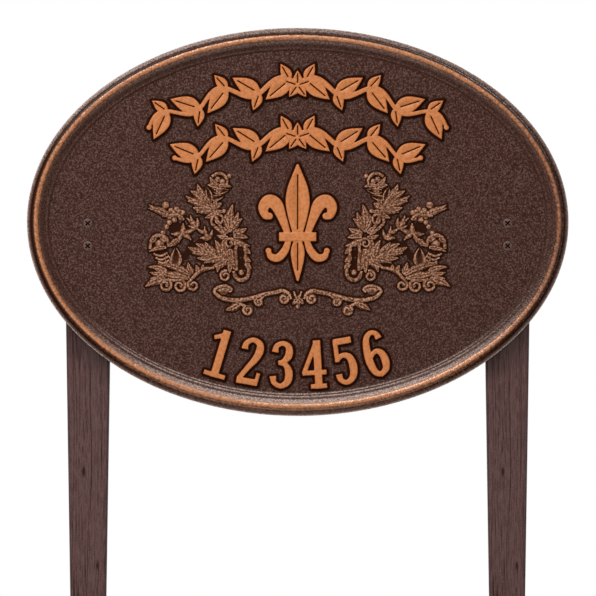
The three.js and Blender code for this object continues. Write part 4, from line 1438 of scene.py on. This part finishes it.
def grain_height(u, v):
    """Height of the cast grain in mm, at u mm across the stake and v mm above the lawn."""
    push, heart = 0.0, 0.0
    for x, z, size in KNOTS:
        near = hill(u - x, v - z, KNOT_REACH, size)
        push += KNOT_PUSH * size * near * math.tanh((u - x) / KNOT_TURN)
        heart = max(heart, hill(u - x, v - z, KNOT_HEART, size))
    flow = u - push + SWAY * read_grain(u, v, SWAY_GRAIN)
    coarse = COARSE_DEPTH * math.exp(-(read_grain(flow, v, COARSE_GRAIN) / COARSE_HALF) ** 2)
    fine = FINE_DEPTH * math.exp(-(read_grain(flow, v, FINE_GRAIN) / FINE_HALF) ** 2)
    return SKIN_RISE * read_grain(u, v, SKIN_GRAIN) - (coarse + fine) - HEART_DEPTH * heart


# %% Stake
STAKE_COLUMNS = 84
STAKE_ROWS = 240
STAKE_POINT = 60 * MM
STAKE_TOP_HALF = 17 * MM
STAKE_POINT_HALF = 10.5 * MM
STAKE_TIP_HALF = 2.5 * MM
STAKE_TIP_THICK = 3 * MM
FRONT_ROUND = 2.6 * MM
BACK_ROUND = 1.0 * MM
EDGE_PAINTED_SHADE = 1.8 * MM
SIDE_CALM = 1.5 * MM
TOP_CALM = 3 * MM
TIP_ROUND = 0.4
DEEP_GROOVE = 0.34
STAKE_SMOOTH = 50


def rounding(away, radius):
    """How far a rounded edge has fallen back at a distance from the side."""
    into = max(radius - away, 0)
    return radius - math.sqrt(max(radius ** 2 - into ** 2, 0))


def stake_section(z, low, high):
    """How far a height is up the point, half the width there, and how much thinner each face is."""
    length, thick = high.z - low.z, high.y - low.y
    tip = min((z - low.z) / STAKE_POINT, 1)
    body = max((z - low.z - STAKE_POINT) / (length - STAKE_POINT), 0)
    half = mixed(STAKE_TIP_HALF, mixed(STAKE_POINT_HALF, STAKE_TOP_HALF, body), tip)
    return tip, half, (thick - mixed(STAKE_TIP_THICK, thick, tip)) / 2


def make_stake(node):
    low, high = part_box(node)
    middle, length = (low.x + high.x) / 2, high.z - low.z
    thick = high.y - low.y
    made = new_grid(STAKE_COLUMNS, STAKE_ROWS)
    grain = made.data.attributes.new("grain", "FLOAT", "POINT")
    for vertex in made.data.vertices:
        across, up = vertex.co.x, (vertex.co.y + 1) / 2
        z = low.z + up * length
        tip, half, thin = stake_section(z, low, high)
        away = (1 - abs(across)) * half
        height = grain_height(across * half / MM, z / MM)
        calm = min(away / SIDE_CALM, 1) * min((high.z - z) / TOP_CALM, 1)
        # painted shade along both side edges, kept with the grooves in the grain attribute
        edge = max(1 - away / EDGE_PAINTED_SHADE, 0)
        grain.data[vertex.index].value = max(min(max(-height / DEEP_GROOVE, 0), 1) * calm, edge)
        front = low.y + thin + rounding(away, FRONT_ROUND * mixed(TIP_ROUND, 1, tip))
        vertex.co = (middle + across * half, front - min(height, 0) * calm * MM, z)
    made.data.update()
    open_mesh(made)
    draw_out(thick)
    bpy.ops.object.mode_set(mode="OBJECT")
    for vertex in made.data.vertices:
        if vertex.select:
            _, half, thin = stake_section(vertex.co.z, low, high)
            vertex.co.y = high.y - thin - rounding(half - abs(vertex.co.x - middle), BACK_ROUND)
    bpy.ops.object.mode_set(mode="EDIT")
    close_mesh()
    return made


# %% [markdown]
# The screws pass through each stake in two plain holes, as clear of the screw as the holes in the panel
# are.

# %% Screw holes in the stakes
DRILL_OVERRUN = 1 * MM


def drill(made, side):
    """Takes both screw holes out of a stake."""
    low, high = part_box(f"{side}_stake")
    for level in LEVELS:
        x, z = axis_of(f"{side}_{level}_screw")
        bit = drum(x, z, SCREW_RADIUS + HOLE_GAP, low.y - DRILL_OVERRUN, high.y + DRILL_OVERRUN, HOLE_SIDES)
        cut(made, bit)
    print("drilled the", side, "stake, grain kept:", "grain" in made.data.attributes)


# %% Stake finish
STAKE_DARK = (0.052, 0.022, 0.020, 1)
STAKE_LIGHT = (0.100, 0.049, 0.046, 1)
STAKE_GROOVE = (0.022, 0.008, 0.007, 1)
LACQUER = 0.3
GROOVE_GLOSS = 0.1
FIBRES = (900.0, 4.0)
DUST = (900.0, 3.0)
STAKE_BAND = (0.36, 0.64)
GROOVE_BAND = (0.25, 1.0)
FIBRE_STRETCH = (1, 1, 0.12)
FIBRE_SHARE = 0.6
RIM_SHADE_REACH = 1.13
RIM_SHADE = 0.85
BEHIND_PANEL = (-4.2, -3.8)


def stake_finish(name):
    """Darker paint in the grain's grooves, painted shade along the edges, and a painted shadow in a band
    under the rim.
    """
    material, tree, place = new_finish(name)
    drawn = put(tree, "ShaderNodeMapping", {"Vector": place, "Scale": FIBRE_STRETCH}).outputs[0]
    fibres = maths(tree, "MULTIPLY", speckle(tree, drawn, *FIBRES), FIBRE_SHARE)
    dust = maths(tree, "MULTIPLY", speckle(tree, place, *DUST), 1 - FIBRE_SHARE)
    skin = maths(tree, "ADD", fibres, dust)
    groove = put(tree, "ShaderNodeAttribute", attribute_name="grain").outputs["Fac"]
    paint = blend_colours(tree, ramp(tree, skin, *STAKE_BAND), STAKE_DARK, STAKE_LIGHT)
    centred = {"Location": (0, 0, -plaque_centre.z / half_high), "Scale": (1 / half_wide, 0, 1 / half_high)}
    oval = put(tree, "ShaderNodeMapping", {"Vector": place} | centred).outputs[0]
    reach = put(tree, "ShaderNodeVectorMath", {0: oval}, operation="LENGTH").outputs["Value"]
    # painted shadow: a band of the stake's front just below the panel's rim is darkened towards the groove
    # colour
    near = maths(tree, "SUBTRACT", 1.0, ramp(tree, reach, 1.0, RIM_SHADE_REACH))
    near = maths(tree, "MULTIPLY", near, ramp(tree, height_of(tree, place), *BEHIND_PANEL))
    paint = blend_colours(tree, maths(tree, "MULTIPLY", near, RIM_SHADE), paint, STAKE_GROOVE)
    # the grain attribute darkens the grooves, and the edges as painted shade
    colour = blend_colours(tree, ramp(tree, groove, *GROOVE_BAND), paint, STAKE_GROOVE)
    gloss = between(tree, groove, LACQUER, GROOVE_GLOSS)
    lacquered(tree, colour, gloss, roughness=0.42, bump_height=skin, bump=0.6, depth=0.25 * MM)
    return material


stake_bronze = stake_finish("stake_bronze")
print("finish:", stake_bronze.name)


def middle_of(node):
    low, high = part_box(node)
    return (low + high) / 2


def copy_to(blank, home, node):
    """A copy of a piece with its own mesh, moved from one solid's place to another's."""
    made = copy_of(blank)
    made.location = middle_of(node) - middle_of(home)
    return made


stake = make_stake("left_stake")
drill(stake, "left")
other_stake = copy_to(stake, "left_stake", "right_stake")
for side, blank in zip(SIDES, (stake, other_stake)):
    finish_piece(blank, f"{side}_stake_casting", f"{side}_stake", "stake_paint", stake_bronze, STAKE_SMOOTH)

# %% [markdown]
# ## Screws, washers and nuts
#
# Flat-head machine screws come through from the front and are painted with the panel. Behind each stake a
# split lock washer and a hexagon nut hold them, in bright zinc. A screw is a grid wrapped into a tube: its
# radius follows the head's cone, and then a thread that climbs by one pitch per turn.

# %% Wrapped grids
def wrapped(rows, columns, place):
    """A grid closed to a tube with filled ends. place(row, share of a turn) gives each point."""
    made = new_grid(rows, columns)
    for vertex in made.data.vertices:
        row = round((vertex.co.x + 1) / 2 * rows)
        vertex.co = place(row, (vertex.co.y + 1) / 2)
    made.data.update()
    open_mesh(made)
    bpy.ops.mesh.remove_doubles(threshold=1e-6)
    bpy.ops.mesh.fill_holes(sides=0)
    close_mesh()
    return made


def about_y(x, z, radius, y, turn):
    angle = 2 * math.pi * turn
    return Vector((x + radius * math.cos(angle), y, z + radius * math.sin(angle)))


# %% Screws
THREAD_PITCH = 0.8 * MM
THREAD_DEPTH = 0.24 * MM
RECESS_SPAN = 5.0 * MM
RECESS_WIDTH = 1.15 * MM
RECESS_DEPTH = 1.5 * MM
RECESS_RISE = 0.3 * MM
RECESS_TAPER = (0.5, 1, 0.7)
RECESS_TURNS = (45, -45)
THREAD_FROM = 6.0 * MM
THREAD_STEP = 0.1 * MM
TIP_TAPER = 0.5 * MM
TURN_STEPS = 36
EDGE_BREAK = 0.12 * MM
EDGE_DROP = 0.08 * MM
HEAD_LAND = 0.35 * MM
RECESS_VOXEL = 0.05 * MM
RECESS_KEEP = 0.1


def recess_cutter(x, y, z, turn):
    deselect()
    bpy.ops.mesh.primitive_cube_add(size=1)
    cutter = bpy.context.object
    cutter.scale = (RECESS_SPAN, RECESS_RISE + RECESS_DEPTH, RECESS_WIDTH)
    cutter.location = (0, (RECESS_DEPTH - RECESS_RISE) / 2, 0)
    settle()
    open_facing(cutter, 1)
    bpy.ops.transform.resize(value=RECESS_TAPER, center_override=(0, RECESS_DEPTH, 0))
    bpy.ops.object.mode_set(mode="OBJECT")
    cutter.rotation_euler = (0, turn, 0)
    cutter.location = (x, y, z)
    settle()
    return cutter


def make_screw(node):
    low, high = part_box(node)
    x, z = axis_of(node)
    stations = [(0.0, HEAD_RADIUS - EDGE_BREAK, 0), (EDGE_DROP, HEAD_RADIUS, 0), (HEAD_LAND, HEAD_RADIUS, 0),
                (HEAD_CONE, SCREW_RADIUS, 0)]
    length = high.y - low.y
    count = round((length - THREAD_FROM) / THREAD_STEP)
    for i in range(count + 1):
        down = mixed(THREAD_FROM, length, i / count)
        taper = max(down - (length - TIP_TAPER), 0)
        stations.append((down, SCREW_RADIUS - taper, 0 if taper else THREAD_DEPTH))

    def place(row, turn):
        down, radius, depth = stations[row]
        wave = abs(((down / THREAD_PITCH - turn) % 1) * 2 - 1)
        return about_y(x, z, radius - depth * wave, low.y + down, turn)

    made = wrapped(len(stations) - 1, TURN_STEPS, place)
    cross = join([recess_cutter(x, low.y, z, math.radians(turn)) for turn in RECESS_TURNS])
    add_and_apply(cross, "REMESH", mode="VOXEL", voxel_size=RECESS_VOXEL)
    add_and_apply(cross, "DECIMATE", ratio=RECESS_KEEP)
    cut(made, cross)
    return made


# %% Nuts
NUT_BORE = 2.0 * MM
NUT_CHAMFER = 0.5 * MM
NUT_ROUND = 0.95
NUT_SIDES = 64
BORE_SIDES = 40


def make_nut(node):
    low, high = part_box(node)
    x, z = axis_of(node)
    corner = max(high.x - low.x, high.z - low.z) / 2
    flats = min(high.x - low.x, high.z - low.z) / 2
    nut = drum(x, z, corner, low.y, high.y, 6)
    if high.z - low.z < high.x - low.x:
        for vertex in nut.data.vertices:
            across, up = vertex.co.x - x, vertex.co.z - z
            vertex.co.x, vertex.co.z = x + up, z + across
    blank = drum(x, z, mixed(flats, corner, NUT_ROUND), low.y, high.y, NUT_SIDES)
    add_and_apply(blank, "BEVEL", width=NUT_CHAMFER, segments=3, limit_method="ANGLE")
    cut(nut, blank, "INTERSECT")
    cut(nut, drum(x, z, NUT_BORE, low.y - DRILL_OVERRUN, high.y + DRILL_OVERRUN, BORE_SIDES))
    return nut


# %% Lock washers
WASHER_RADIUS = 3.2 * MM
WASHER_BORE = 2.05 * MM
WASHER_SPLIT = 0.9 * MM
WASHER_SPRING = 0.12 * MM
WASHER_STEPS = 72
SPLIT_TURN = 0.25


def make_washer(node):
    low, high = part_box(node)
    x = (low.x + high.x) / 2
    z = high.z - WASHER_RADIUS
    open_share = WASHER_SPLIT / (2 * math.pi * WASHER_RADIUS)
    corners = [(WASHER_BORE, 0), (WASHER_RADIUS, 0), (WASHER_RADIUS, 1), (WASHER_BORE, 1), (WASHER_BORE, 0)]
    sides = len(corners) - 1

    def place(row, turn):
        radius, back = corners[round(turn * sides)]
        share = mixed(open_share / 2, 1 - open_share / 2, row / WASHER_STEPS) - SPLIT_TURN
        lift = WASHER_SPRING * (row / WASHER_STEPS - 0.5)
        inside = mixed(low.y + WASHER_SPRING / 2, high.y - WASHER_SPRING / 2, back)
        return about_y(x, z, radius, inside + lift, share)

    return wrapped(WASHER_STEPS, sides, place)


# %% Finishes of the fasteners
HEAD_DARK = (0.055, 0.022, 0.017, 1)
HEAD_LIGHT = (0.115, 0.056, 0.047, 1)
HEAD_PEBBLE = 1.0 * MM
HEAD_BAND = (0.45, 0.64)
RECESS_BAND = (4.5, 4.85)
STEEL_BAND = (-8.0, -7.9)
BARE_STEEL = (0.55, 0.54, 0.5, 1)
ZINC_DULL = (0.42, 0.41, 0.38, 1)
ZINC_BRIGHT = (0.66, 0.65, 0.61, 1)
ZINC_CLOUDS = (600.0, 4.0)


def painted_head_finish(name):
    """The panel's paint on the head, painted shade in the recess, and bare steel behind the stake."""
    material, tree, place = new_finish(name)
    skin = pebbles(tree, place, HEAD_PEBBLE)
    height = height_of(tree, place)
    paint = blend_colours(tree, ramp(tree, skin, *HEAD_BAND), HEAD_DARK, HEAD_LIGHT)
    # painted shade: the cross recess takes the near-black crevice colour
    colour = blend_colours(tree, ramp(tree, height, *RECESS_BAND), CREVICE, paint)
    colour = blend_colours(tree, ramp(tree, height, *STEEL_BAND), BARE_STEEL, colour)
    gloss = between(tree, height, 0.02, 0.4, *RECESS_BAND)
    lacquered(tree, colour, gloss, roughness=0.34, bump_height=skin, bump=0.7, depth=0.4 * MM)
    return material


def zinc_finish(name):
    material, tree, place = new_finish(name)
    cloud = speckle(tree, place, *ZINC_CLOUDS)
    colour = blend_colours(tree, cloud, ZINC_DULL, ZINC_BRIGHT)
    roughness = between(tree, cloud, low=0.28, high=0.5)
    relief = put(tree, "ShaderNodeBump", {"Strength": 0.2, "Distance": 0.05 * MM, "Height": cloud}).outputs[0]
    inputs = {"Base Color": colour, "Roughness": roughness, "Metallic": 1.0, "Normal": relief}
    surface = put(tree, "ShaderNodeBsdfPrincipled", inputs)
    put(tree, "ShaderNodeOutputMaterial", {"Surface": surface.outputs[0]})
    return material


head_bronze = painted_head_finish("head_bronze")
bright_zinc = zinc_finish("bright_zinc")
FASTENERS = (
    ("screw", make_screw, "machine_screw", "screw_paint", head_bronze),
    ("nut", make_nut, "hex_nut", "zinc_steel", bright_zinc),
    ("lock_washer", make_washer, "split_washer", "zinc_steel", bright_zinc),
)
first, *others = [f"{side}_{level}" for side in SIDES for level in LEVELS]
for part, make, name, slot, material in FASTENERS:
    blank = make(f"{first}_{part}")
    copies = [copy_to(blank, f"{first}_{part}", f"{place}_{part}") for place in others]
    for place, copy in zip([first, *others], [blank, *copies]):
        finish_piece(copy, f"{place}_{name}", f"{place}_{part}", slot, material)
